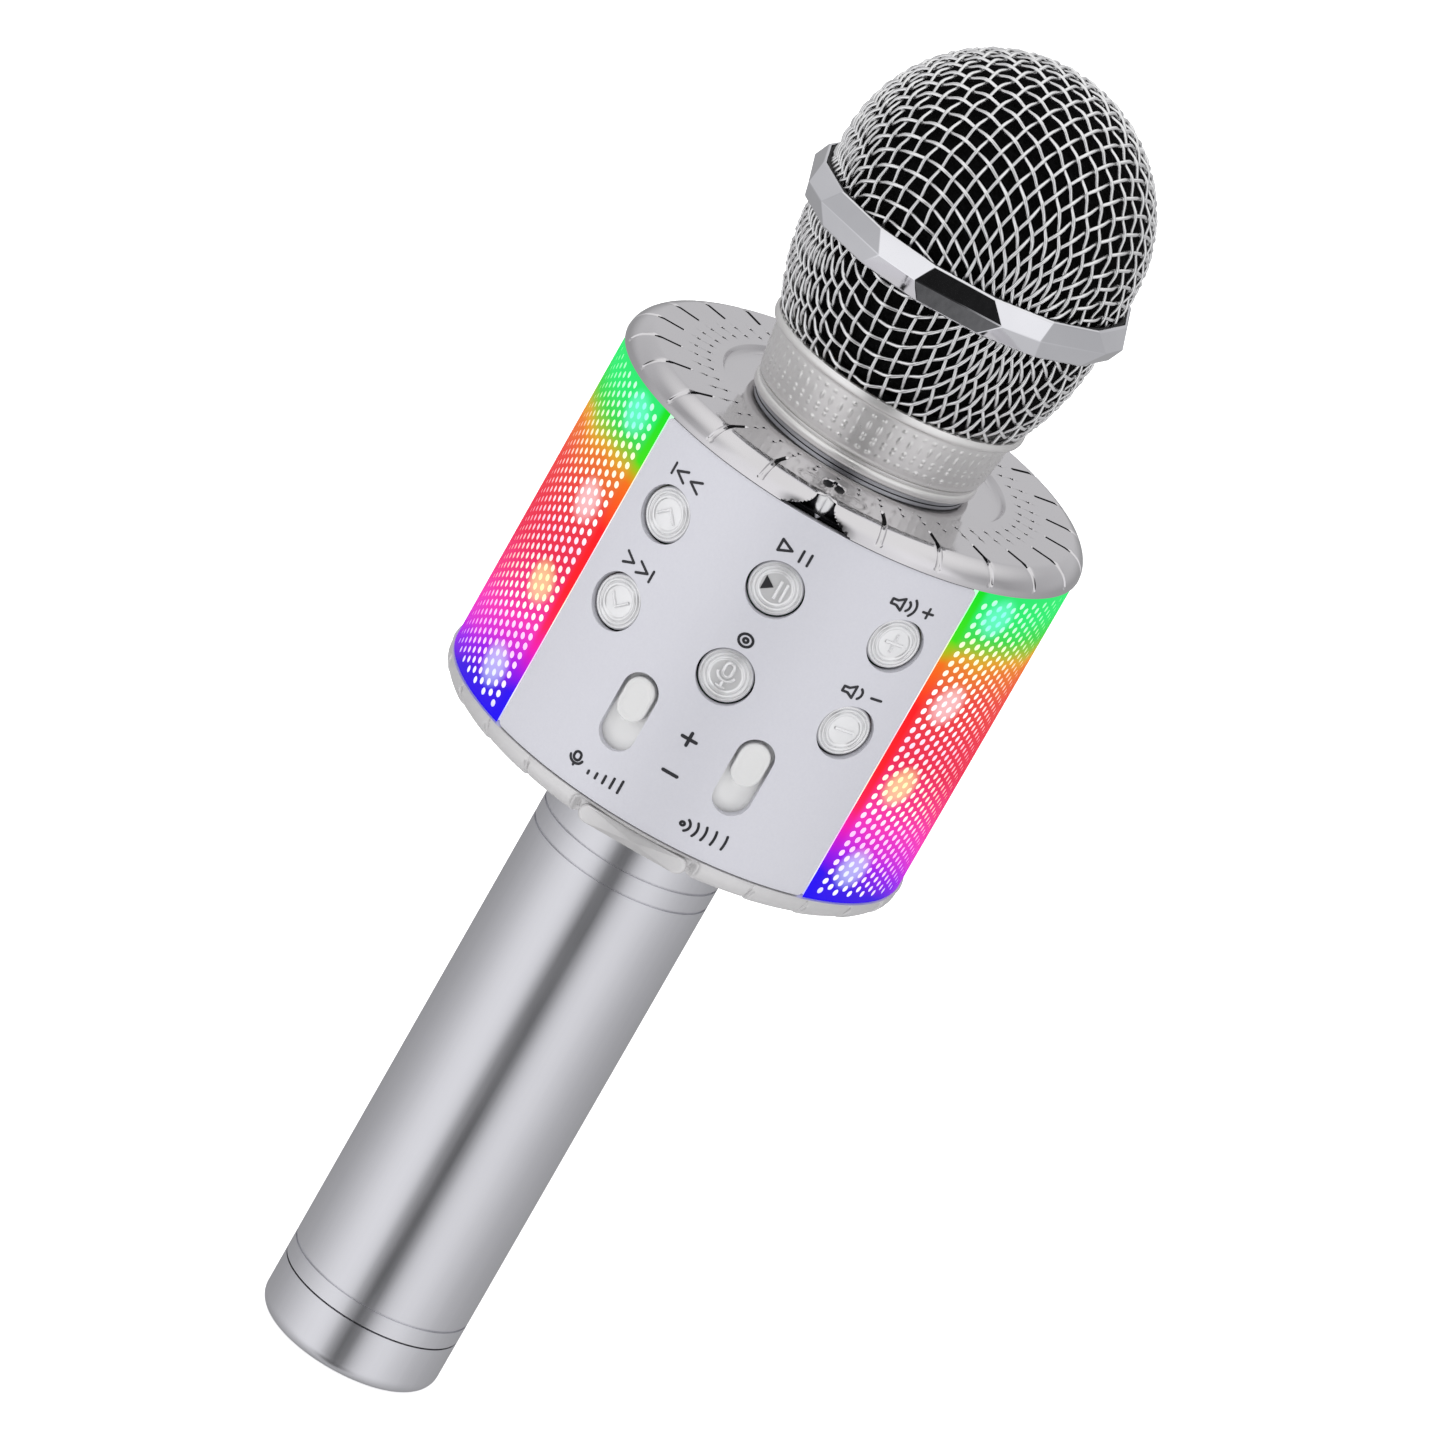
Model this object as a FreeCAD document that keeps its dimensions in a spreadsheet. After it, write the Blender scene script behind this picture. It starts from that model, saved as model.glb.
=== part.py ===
import FreeCAD, Part

import math
import os
import re

import Sketcher
from FreeCAD import Placement, Rotation, Vector

# A karaoke microphone that stands upright on its handle. The axis is Z, Z = 0 is the handle's flat end, and
# the control panel faces -Y. Angles round the axis are in degrees from the front, positive towards +X.

os.makedirs("parts", exist_ok=True)
doc = FreeCAD.newDocument("microphone")

SIZES = {
    # handle
    "handle_radius": 15.8,
    "handle_wall": 1.5,
    "handle_top": 112.3,
    "end_rounding": 2.8,
    "cap_top": 9.75,
    "cap_spigot_top": 16.0,
    "cap_floor": 2.5,
    "seam_gap": 0.3,
    "groove_width": 0.45,
    "groove_depth": 0.35,
    "lower_groove": 13.1,
    "middle_groove": 95.5,
    "upper_groove": 99.1,
    "cell_radius": 9.1,
    "cell_bottom": 23.2,
    "cell_length": 65.0,
    "cell_button_radius": 3.0,
    "holder_top": 98.0,
    "spring_wire": 0.4,
    "spring_radius": 4.5,
    "spring_pitch": 1.5,
    "bush_bore": 10.0,
    "bush_flange_radius": 24.0,
    "lead_radius": 0.6,
    # barrel and its covers
    "cover_radius": 40.9,
    "cover_rounding": 2.4,
    "plate": 2.0,
    "barrel_radius": 40.6,
    "skin": 1.5,
    "bottom_face": 111.1,
    "barrel_bottom": 115.0,
    "barrel_top": 173.4,
    "top_face": 177.3,
    "top_plate": 3.2,
    "dish_radius": 25.4,
    "dish_floor": 176.1,
    "spigot_inside": 37.0,
    "spigot_outside": 38.7,
    "spigot_length": 2.3,
    "skin_gap": 0.15,
    "panel_half_angle": 42.7,
    "panel_corner": 1.2,
    "grille_half_angle": 46.7,
    "grille_skin": 0.6,
    "diffuser_skin": 1.3,
    "frame_outside": 36.0,
    "frame_wall": 1.5,
    "lowest_lamp": 121.5,
    "lamp_pitch": 15.5,
    "lamp_half": 1.1,
    # ornaments of the covers
    "slot_start": 32.6,
    "slot_width": 0.55,
    "slot_depth": 0.7,
    "outer_dot_ring": 30.2,
    "inner_dot_ring": 27.9,
    "dot_radius": 0.33,
    "dot_depth": 0.5,
    "notch_floor": 39.4,
    "notch_bottom_half": 6.0,
    "notch_top_half": 1.8,
    "lip_half_angle": 14.0,
    "lip_height": 3.0,
    # buttons and the switches behind them
    "button_angle": 30.7,
    "upper_row": 160.3,
    "lower_row": 143.9,
    "button_radius": 4.5,
    "button_gap": 0.25,
    "button_face": 39.8,
    "flange_radius": 5.6,
    "flange_face": 38.4,
    "stem_radius": 1.8,
    "button_travel": 0.6,
    "board": 1.6,
    "board_face": 28.0,
    "tact_body": 6.0,
    "tact_depth": 3.5,
    "plunger_end": 34.6,
    # sliders
    "slider_angle": 14.8,
    "slider_middle": 130.6,
    "recess_width": 6.4,
    "recess_length": 13.8,
    "skirt_face": 38.8,
    "skirt": 0.9,
    "skirt_width": 7.4,
    "skirt_low": 123.2,
    "skirt_high": 143.4,
    "knob_width": 5.2,
    "knob_length": 7.7,
    "knob_face": 40.85,
    "slider_rest": 132.9,
    # back panel
    "port_board_face": 23.6,
    "switch_height": 160.0,
    "charge_height": 147.5,
    "audio_height": 135.5,
    "card_height": 123.5,
    "audio_bore": 1.8,
    "screw_angle": 37.0,
    "screw_margin": 6.0,
    "screw_head": 1.9,
    "screw_shank": 1.0,
    # loudspeakers
    "speaker_height": 143.3,
    "speaker_half": 18.0,
    "speaker_face": 27.4,
    # neck and head
    "neck_radius": 14.6,
    "neck_bore": 12.6,
    "neck_top": 189.0,
    "thread_crest": 15.0,
    "thread_pitch": 1.5,
    "collar_bore": 15.3,
    "collar_bottom": 176.9,
    "collar_lip_radius": 19.9,
    "collar_radius": 21.0,
    "collar_flange_radius": 22.35,
    "collar_top": 190.0,
    "ring_bottom": 208.2,
    "ring_ridge": 211.6,
    "ring_top": 215.0,
    "ring_edge_radius": 27.7,
    "ring_ridge_radius": 29.1,
    "ring_bore": 26.45,
    "dome_radius": 26.3,
    "dome_centre": 218.7,
    "mesh_skin": 0.8,
    "capsule_radius": 9.0,
    "foam_radius": 24.9,
}

sheet = doc.addObject("Spreadsheet::Sheet", "Sizes")
for row, (alias, size) in enumerate(SIZES.items(), 1):
    sheet.set(f"A{row}", alias)
    sheet.set(f"B{row}", str(size))
    sheet.setAlias(f"B{row}", alias)
doc.recompute()

nodes = []


def bound(formula):
    """A formula in the sheet's words, as an expression that any object of the document can hold."""
    return re.sub(r"[a-z][a-z_]+", lambda word: "Sizes." + word[0], formula)


def number(formula):
    """What a formula in the sheet's words comes to."""
    return float(sheet.evalExpression(bound(formula)))


def bind(item, **formulas):
    """Ties properties of an object to formulas in the sheet's words."""
    for name, formula in formulas.items():
        item.setExpression(name, bound(formula))


def outward(angle):
    """The unit vector that points away from the axis at an angle from the front."""
    return Vector(math.sin(math.radians(angle)), -math.cos(math.radians(angle)), 0)


def facing(angle, height="0"):
    """The placement that turns a piece built facing +X to an angle from the front."""
    return Placement(Vector(0, 0, number(height)), Rotation(Vector(0, 0, 1), angle - 90))


def keep(item, label=None):
    """Counts an object as one sub-part of the microphone."""
    item.Label = label or item.Name
    nodes.append(item)
    return item


# Sketched pieces


def new_body(name):
    return doc.addObject("PartDesign::Body", name)


def outline(body, name, plane, corners, lift=None):
    """A closed sketch with straight sides, whose corners are pairs of formulas."""
    sketch = body.newObject("Sketcher::SketchObject", name)
    support = next(item for item in body.Origin.OriginFeatures if item.Role == plane)
    sketch.AttachmentSupport = (support, [""])
    sketch.MapMode = "FlatFace"
    if lift:
        sketch.AttachmentOffset = Placement(Vector(0, 0, number(lift)), Rotation())
        sketch.setExpression("AttachmentOffset.Base.z", bound(lift))
    places = [Vector(number(across), number(up), 0) for across, up in corners]
    count = len(places)
    for side in range(count):
        sketch.addGeometry(Part.LineSegment(places[side], places[(side + 1) % count]), False)
    for side in range(count):
        sketch.addConstraint(Sketcher.Constraint("Coincident", side, 2, (side + 1) % count, 1))
    for side, (across, up) in enumerate(corners):
        for kind, axis, formula in (("DistanceX", -2, across), ("DistanceY", -1, up)):
            if abs(number(formula)) < 1e-9:
                sketch.addConstraint(Sketcher.Constraint("PointOnObject", side, 1, axis))
                continue
            gap = Sketcher.Constraint(kind, -1, 1, side, 1, number(formula))
            sketch.setExpression(f"Constraints[{sketch.addConstraint(gap)}]", bound(formula))
    return sketch


def turned(name, corners, axis="V_Axis"):
    """A body turned from an outline of (radius, height) pairs, or of (outward, radius) pairs about H_Axis."""
    body = new_body(name)
    sketch = outline(body, name + "_outline", "XZ_Plane", corners)
    turn = body.newObject("PartDesign::Revolution", name + "_turn")
    turn.Profile = sketch
    turn.ReferenceAxis = (sketch, [axis])
    turn.Angle = 360
    return body


def padded(name, plane, corners, length, lift=None):
    """A body padded from an outline, away from the plane's own side."""
    body = new_body(name)
    sketch = outline(body, name + "_outline", plane, corners, lift)
    pad = body.newObject("PartDesign::Pad", name + "_pad")
    pad.Profile = sketch
    bind(pad, Length=length)
    return body


def round_circles(body, radius, *circles):
    """Rounds the circular edges that lie at (radius, height) pairs."""
    doc.recompute()
    last = body.Tip
    wanted = [(number(across), number(up)) for across, up in circles]
    edges = []
    for index, edge in enumerate(last.Shape.Edges, 1):
        if not isinstance(edge.Curve, Part.Circle):
            continue
        for across, up in wanted:
            if abs(edge.Curve.Radius - across) < 0.01 and abs(edge.Curve.Center.z - up) < 0.01:
                edges.append(f"Edge{index}")
    rounding = body.newObject("PartDesign::Fillet", body.Name + "_rounding")
    rounding.Base = (last, edges)
    bind(rounding, Radius=radius)


def pocket_round(body, name, corners, count, depth, lift, upward=False):
    """Pockets an outline into a body from a height and repeats it evenly round the axis."""
    sketch = outline(body, f"{body.Name}_{name}_outline", "XY_Plane", corners, lift)
    pocket = body.newObject("PartDesign::Pocket", f"{body.Name}_{name}")
    pocket.Profile = sketch
    pocket.Reversed = upward
    bind(pocket, Length=depth)
    pattern = body.newObject("PartDesign::PolarPattern", f"{body.Name}_{name}_pattern")
    pattern.Originals = [pocket]
    pattern.Axis = (sketch, ["N_Axis"])
    pattern.Angle = 360
    pattern.Occurrences = count
    body.Tip = pattern


def square_at(across, half):
    """The corners of a small square whose middle is on the sketch's first axis."""
    return [
        (f"{across} - {half}", f"-{half}"),
        (f"{across} + {half}", f"-{half}"),
        (f"{across} + {half}", half),
        (f"{across} - {half}", half),
    ]


# Pieces made from primitives


def rod(name, radius, low, high, sweep=360, start=0):
    """A cylinder on the axis between two heights, or the part of one that starts at an angle."""
    item = doc.addObject("Part::Cylinder", name)
    item.Angle = sweep
    item.Placement = facing(start, low)
    bind(item, Radius=radius, Height=f"({high}) - ({low})")
    item.setExpression("Placement.Base.z", bound(low))
    return item


def outward_rod(name, radius, near, far, angle, height, aside="0"):
    """A cylinder that points away from the axis, between two distances from it."""
    item = doc.addObject("Part::Cylinder", name)
    bind(item, Radius=radius, Height=f"({far}) - ({near})")
    ahead = outward(angle)
    left = Vector(-ahead.y, ahead.x, 0)
    base = ahead * number(near) + left * number(aside) + Vector(0, 0, number(height))
    item.Placement = Placement(base, Rotation(Vector(0, 0, 1), ahead))
    return item


def outward_block(name, near, far, width, low, high, angle, aside="0"):
    """A box that faces away from the axis, between two distances from it and two heights."""
    item = doc.addObject("Part::Box", name)
    bind(item, Length=f"({far}) - ({near})", Width=width, Height=f"({high}) - ({low})")
    corner = Vector(number(near), number(f"({aside}) - ({width}) / 2"), 0)
    item.Placement = facing(angle, low).multiply(Placement(corner, Rotation()))
    return item


def outward_slot(name, near, far, width, low, high, angle):
    """A block with half-round ends above and below, pointing away from the axis."""
    half = f"({width}) / 2"
    foot = f"({low}) + {half}"
    head = f"({high}) - {half}"
    return fused(
        name,
        outward_block(f"{name}_middle", near, far, width, foot, head, angle),
        outward_rod(f"{name}_foot", half, near, far, angle, foot),
        outward_rod(f"{name}_head", half, near, far, angle, head),
    )


def cut(name, base, *tools):
    item = doc.addObject("Part::Cut", name)
    item.Base = base
    item.Tool = tools[0] if len(tools) == 1 else fused(name + "_tools", *tools)
    return item


def fused(name, *pieces):
    item = doc.addObject("Part::MultiFuse", name)
    item.Shapes = list(pieces)
    return item


def grouped(name, *pieces):
    """Separate solids that share one node."""
    item = doc.addObject("Part::Compound", name)
    item.Links = list(pieces)
    return item


def curved_sheet(name, outside, skin, low, high, middle, half_angle):
    """Part of a tube's wall, centred on an angle."""
    sweep = 2 * number(half_angle)
    start = middle - number(half_angle)
    shell = rod(name + "_outside", outside, low, high, sweep, start)
    hollow = rod(name + "_inside", f"{outside} - {skin}", low, high, sweep, start)
    return cut(name, shell, hollow)


def round_corners(name, item, radius):
    """Rounds the four corners of a curved sheet, which are its edges that point away from the axis."""
    doc.recompute()
    corners = []
    for index, edge in enumerate(item.Shape.Edges, 1):
        if not isinstance(edge.Curve, (Part.Line, Part.LineSegment)):
            continue
        ends = [vertex.Point for vertex in edge.Vertexes]
        if abs(ends[0].z - ends[1].z) < 1e-6:
            corners.append((index, number(radius), number(radius)))
    rounding = doc.addObject("Part::Fillet", name)
    rounding.Base = item
    rounding.Edges = corners
    return rounding


def wire(name, points):
    """A round lead that runs straight from point to point, with a ball at each bend."""
    radius = number("lead_radius")
    pieces = []
    for index, (start, end) in enumerate(zip(points, points[1:])):
        run = doc.addObject("Part::Cylinder", f"{name}_run{index}")
        bind(run, Radius="lead_radius")
        run.Height = (end - start).Length
        run.Placement = Placement(start, Rotation(Vector(0, 0, 1), end - start))
        pieces.append(run)
    for index, point in enumerate(points[1:-1]):
        bend = doc.addObject("Part::Sphere", f"{name}_bend{index}")
        bind(bend, Radius="lead_radius")
        bend.Placement = Placement(point, Rotation())
        pieces.append(bend)
    return fused(name, *pieces)


def screw(name, head_end, direction, head_length, shank_length):
    """A round-headed screw with a cross recess, whose head's flat face is at head_end."""
    turn = Rotation(Vector(0, 0, 1), direction)
    head = doc.addObject("Part::Cylinder", name + "_head")
    bind(head, Radius="screw_head")
    head.Height = head_length
    head.Placement = Placement(head_end, turn)
    shank = doc.addObject("Part::Cylinder", name + "_shank")
    bind(shank, Radius="screw_shank")
    shank.Height = head_length + shank_length
    shank.Placement = Placement(head_end, turn)
    arms = []
    for arm, sides in enumerate(((2.4, 0.5), (0.5, 2.4))):
        groove = doc.addObject("Part::Box", f"{name}_groove{arm}")
        groove.Length, groove.Width = sides
        groove.Height = 0.6
        corner = Vector(-sides[0] / 2, -sides[1] / 2, 0)
        groove.Placement = Placement(head_end, turn).multiply(Placement(corner, Rotation()))
        arms.append(groove)
    return cut(name, fused(name + "_blank", head, shank), *arms)


# Handle


def groove_at(height):
    """Corners of a fine groove round the handle, going up its outside."""
    floor = "handle_radius - groove_depth"
    return [
        ("handle_radius", height),
        (floor, height),
        (floor, f"{height} + groove_width"),
        ("handle_radius", f"{height} + groove_width"),
    ]


def make_handle():
    inside = "handle_radius - handle_wall"
    fit = "handle_radius - handle_wall - 0.2"
    cap = turned(
        "handle_end_cap",
        [
            ("0", "0"),
            ("handle_radius", "0"),
            ("handle_radius", "cap_top"),
            (fit, "cap_top"),
            (fit, "cap_spigot_top"),
            (fit + " - 1.8", "cap_spigot_top"),
            (fit + " - 1.8", "cap_floor"),
            ("0", "cap_floor"),
        ],
    )
    round_circles(cap, "end_rounding", ("handle_radius", "0"))
    keep(cap)

    tube = [(inside, "cap_top + seam_gap"), ("handle_radius", "cap_top + seam_gap")]
    for height in ("lower_groove", "middle_groove", "upper_groove"):
        tube += groove_at(height)
    tube += [
        ("handle_radius", "bottom_face - seam_gap"),
        ("handle_radius - 0.2", "bottom_face - seam_gap"),
        ("handle_radius - 0.2", "handle_top"),
        (inside, "handle_top"),
    ]
    keep(turned("handle_tube", tube))

    keep(
        turned(
            "battery_holder",
            [
                ("0", "cap_spigot_top + 0.3"),
                (fit, "cap_spigot_top + 0.3"),
                (fit, "holder_top"),
                ("cell_radius + 0.3", "holder_top"),
                ("cell_radius + 0.3", "cap_spigot_top + 1.8"),
                ("0", "cap_spigot_top + 1.8"),
            ],
        )
    )
    cell_top = "cell_bottom + cell_length"
    keep(
        turned(
            "battery_cell",
            [
                ("0", "cell_bottom"),
                ("cell_radius", "cell_bottom"),
                ("cell_radius", cell_top),
                ("cell_button_radius", cell_top),
                ("cell_button_radius", cell_top + " + 0.8"),
                ("0", cell_top + " + 0.8"),
            ],
        )
    )
    make_spring()
    keep(
        turned(
            "handle_bush",
            [
                ("bush_bore", "holder_top + 0.4"),
                (fit, "holder_top + 0.4"),
                (fit, "bottom_face + plate + 0.2"),
                ("bush_flange_radius", "bottom_face + plate + 0.2"),
                ("bush_flange_radius", "bottom_face + 2 * plate + 0.2"),
                ("bush_bore", "bottom_face + 2 * plate + 0.2"),
            ],
        )
    )


def make_spring():
    """A wire spring on the holder's floor, which presses the cell upwards."""
    low = number("cap_spigot_top + 1.8 + spring_wire + 0.05")
    path = doc.addObject("Part::Helix", "spring_path")
    bind(path, Radius="spring_radius", Pitch="spring_pitch")
    path.Height = number("cell_bottom - spring_wire - 0.1") - low
    path.Placement = Placement(Vector(0, 0, low), Rotation())
    section = doc.addObject("Part::Circle", "spring_section")
    bind(section, Radius="spring_wire")
    section.Placement = Placement(
        Vector(number("spring_radius"), 0, low), Rotation(Vector(1, 0, 0), 90)
    )
    spring = doc.addObject("Part::Sweep", "battery_spring")
    spring.Sections = [section]
    spring.Spine = path
    spring.Solid = True
    spring.Frenet = True
    keep(spring)


# Barrel covers

SLOT = [
    ("slot_start", "-slot_width / 2"),
    ("cover_radius + 1", "-slot_width / 2"),
    ("cover_radius + 1", "slot_width / 2"),
    ("slot_start", "slot_width / 2"),
]


def make_bottom_cover():
    floor_top = "bottom_face + plate"
    cover = turned(
        "bottom_cover_blank",
        [
            ("handle_radius + 0.2", "bottom_face"),
            ("cover_radius", "bottom_face"),
            ("cover_radius", "barrel_bottom"),
            ("spigot_outside", "barrel_bottom"),
            ("spigot_outside", "barrel_bottom + spigot_length"),
            ("spigot_inside", "barrel_bottom + spigot_length"),
            ("spigot_inside", floor_top),
            ("handle_radius + 0.2", floor_top),
        ],
    )
    round_circles(cover, "cover_rounding", ("cover_radius", "bottom_face"))
    pocket_round(cover, "slots", SLOT, 24, "slot_depth", "bottom_face", upward=True)

    lip_top = "bottom_face + 0.2 + lip_height"
    recess = curved_sheet(
        "lip_recess", "cover_radius + 1", "2.7", "bottom_face - 1", f"{lip_top} + 0.1", 0, "lip_half_angle + 0.2"
    )
    screws = []
    holes = []
    for index in range(3):
        place = outward(60 + 120 * index) * 20.0
        place.z = number("bottom_face + 2 * plate + 1.6")
        screws.append(screw(f"handle_screw{index}", place, Vector(0, 0, -1), 1.4, 3.6))
        hole = doc.addObject("Part::Cylinder", f"handle_screw_hole{index}")
        bind(hole, Radius="screw_shank + 0.1")
        hole.Height = 12
        hole.Placement = Placement(Vector(place.x, place.y, place.z - 7), Rotation())
        holes.append(hole)
    keep(cut("bottom_cover", cover, recess, *holes))
    keep(grouped("handle_screws", *screws))
    drill(nodes, "handle_bush", holes)

    lip = curved_sheet(
        "bottom_lip", "cover_radius + 0.05", "1.5", "bottom_face + 0.2", lip_top, 0, "lip_half_angle"
    )
    keep(lip)


def drill(kept, label, holes):
    """Puts holes through a sub-part made earlier, which keeps its label."""
    blank = next(item for item in kept if item.Label == label)
    kept.remove(blank)
    blank.Label = label + "_blank"
    kept.append(cut(label + "_drilled", blank, *holes))
    kept[-1].Label = label


def make_top_cover():
    under = "top_face - top_plate"
    cover = turned(
        "top_cover_blank",
        [
            ("neck_radius + 0.3", under),
            ("spigot_inside", under),
            ("spigot_inside", "barrel_top - spigot_length"),
            ("spigot_outside", "barrel_top - spigot_length"),
            ("spigot_outside", "barrel_top"),
            ("cover_radius", "barrel_top"),
            ("cover_radius", "top_face"),
            ("dish_radius", "top_face"),
            ("dish_radius - 0.8", "dish_floor"),
            ("neck_radius + 0.3", "dish_floor"),
        ],
    )
    round_circles(cover, "cover_rounding", ("cover_radius", "top_face"))
    pocket_round(cover, "slots", SLOT, 24, "slot_depth", "top_face")
    for name, ring in (("outer_dots", "outer_dot_ring"), ("inner_dots", "inner_dot_ring")):
        pocket_round(cover, name, square_at(ring, "dot_radius"), 48, "dot_depth", "top_face")

    notch = padded(
        "front_notch",
        "XZ_Plane",
        [
            ("-notch_bottom_half", "barrel_top - 1"),
            ("notch_bottom_half", "barrel_top - 1"),
            ("notch_top_half", "top_face - 1.2"),
            ("notch_top_half", "top_face + 1"),
            ("-notch_top_half", "top_face + 1"),
            ("-notch_top_half", "top_face - 1.2"),
        ],
        "4",
        "notch_floor",
    )
    eye = rod("front_eye", "1.9", "top_face - 0.9", "top_face + 1")
    eye.Placement = Placement(Vector(0, -36.4, number("top_face - 0.9")), Rotation())
    eye.setExpression("Placement.Base.z", bound("top_face - 0.9"))
    screws = []
    holes = []
    for index in range(4):
        place = outward(45 + 90 * index) * 17.6
        place.z = number("top_face - top_plate - 4.2")
        screws.append(screw(f"neck_screw{index}", place, Vector(0, 0, 1), 1.4, 3.9))
        hole = doc.addObject("Part::Cylinder", f"neck_screw_hole{index}")
        bind(hole, Radius="screw_shank + 0.1")
        hole.Height = 5.4
        hole.Placement = Placement(Vector(place.x, place.y, place.z), Rotation())
        holes.append(hole)
    keep(cut("top_cover", cover, notch, eye, *holes))
    keep(grouped("neck_screws", *screws))

    keep(
        padded(
            "top_ornament",
            "XZ_Plane",
            [
                ("0", "barrel_top - 0.1"),
                ("0.9", "barrel_top + 0.8"),
                ("1.3", "barrel_top + 2"),
                ("1.2", "barrel_top + 3.1"),
                ("0.5", "top_face - 0.1"),
                ("-0.5", "top_face - 0.1"),
                ("-1.2", "barrel_top + 3.1"),
                ("-1.3", "barrel_top + 2"),
                ("-0.9", "barrel_top + 0.8"),
            ],
            "1.2",
            "notch_floor + 0.1",
        )
    )
    return holes


# Barrel


def make_frame():
    """The inner tube that carries the covers, the skins, the boards and both loudspeakers."""
    wall = cut(
        "frame_wall_tube",
        rod("frame_outside_rod", "frame_outside", "bottom_face + plate + 0.1", "top_face - top_plate - 0.1"),
        rod("frame_inside_rod", "frame_outside - frame_wall", "bottom_face", "top_face"),
    )
    low = "barrel_bottom + 2.5"
    high = "barrel_top - 2.5"
    openings = [
        outward_block("front_window", "20", "40", "44", low, high, 0),
        outward_block("rear_window", "20", "40", "36", low, high, 180),
    ]
    bosses = []
    for side, angle in (("left", -90), ("right", 90)):
        openings.append(outward_rod(f"{side}_sound_opening", "16", "26", "40", angle, "speaker_height"))
        for index, (aside, up) in enumerate(((-1, -1), (1, -1), (1, 1), (-1, 1))):
            bosses.append(
                outward_rod(
                    f"{side}_speaker_boss{index}",
                    "2.2",
                    "speaker_face + 0.1",
                    "33",
                    angle,
                    f"speaker_height + {up} * (speaker_half - 3.4)",
                    f"{aside} * (speaker_half - 3.4)",
                )
            )
    for index, (angle, height) in enumerate(rear_screw_places()):
        openings.append(
            outward_rod(f"frame_screw_hole{index}", "screw_shank + 0.1", "30", "40", angle, height)
        )
    keep(cut("barrel_frame", fused("frame_blank", wall, *bosses), *openings))


def rear_screw_places():
    for turn in (-1, 1):
        for height in ("barrel_bottom + screw_margin", "barrel_top - screw_margin"):
            yield 180 + turn * number("screw_angle"), height


BUTTONS = {
    "button_previous": (-1, "upper_row"),
    "button_play": (0, "upper_row"),
    "button_volume_up": (1, "upper_row"),
    "button_next": (-1, "lower_row"),
    "button_record": (0, "lower_row"),
    "button_volume_down": (1, "lower_row"),
}
SLIDERS = {"voice": -1, "echo": 1}


def make_control_panel():
    low = "barrel_bottom + skin_gap"
    high = "barrel_top - skin_gap"
    sheet_metal = curved_sheet("control_sheet", "barrel_radius", "skin", low, high, 0, "panel_half_angle")
    sheet_metal = round_corners("control_sheet_rounded", sheet_metal, "panel_corner")
    tools = []
    for name, (column, row) in BUTTONS.items():
        angle = column * number("button_angle")
        tools.append(outward_rod(f"{name}_hole", "button_radius + button_gap", "30", "45", angle, row))
    for name, column in SLIDERS.items():
        angle = column * number("slider_angle")
        tools.append(
            outward_slot(
                f"{name}_window",
                "30",
                "45",
                "recess_width",
                "slider_middle - recess_length / 2",
                "slider_middle + recess_length / 2",
                angle,
            )
        )
    keep(cut("control_panel", sheet_metal, *tools))


def make_rear_panel():
    low = "barrel_bottom + skin_gap"
    high = "barrel_top - skin_gap"
    sheet_metal = curved_sheet("rear_sheet", "barrel_radius", "skin", low, high, 180, "panel_half_angle")
    sheet_metal = round_corners("rear_sheet_rounded", sheet_metal, "panel_corner")
    bosses = []
    tools = [
        outward_block("switch_window", "34", "45", "7.4", "switch_height - 1.5", "switch_height + 1.5", 180),
        outward_block("charge_window", "34", "45", "9.6", "charge_height - 1.9", "charge_height + 1.9", 180),
        outward_rod("audio_window", "3.1", "34", "45", 180, "audio_height"),
        outward_block("card_window", "34", "45", "12", "card_height - 1", "card_height + 1", 180),
    ]
    screws = []
    for index, (angle, height) in enumerate(rear_screw_places()):
        bosses.append(
            outward_rod(f"rear_boss{index}", "2.8", "frame_outside + 0.1", "barrel_radius - 1", angle, height)
        )
        tools.append(
            outward_rod(f"rear_head_hole{index}", "screw_head + 0.2", "barrel_radius - 1.5", "45", angle, height)
        )
        tools.append(outward_rod(f"rear_hole{index}", "screw_shank + 0.1", "30", "45", angle, height))
        head_end = outward(angle) * number("barrel_radius - 0.2") + Vector(0, 0, number(height))
        screws.append(screw(f"rear_screw{index}", head_end, outward(angle) * -1, 1.2, 4.6))
    keep(cut("rear_panel", fused("rear_panel_blank", sheet_metal, *bosses), *tools))
    keep(grouped("rear_panel_screws", *screws))


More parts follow.
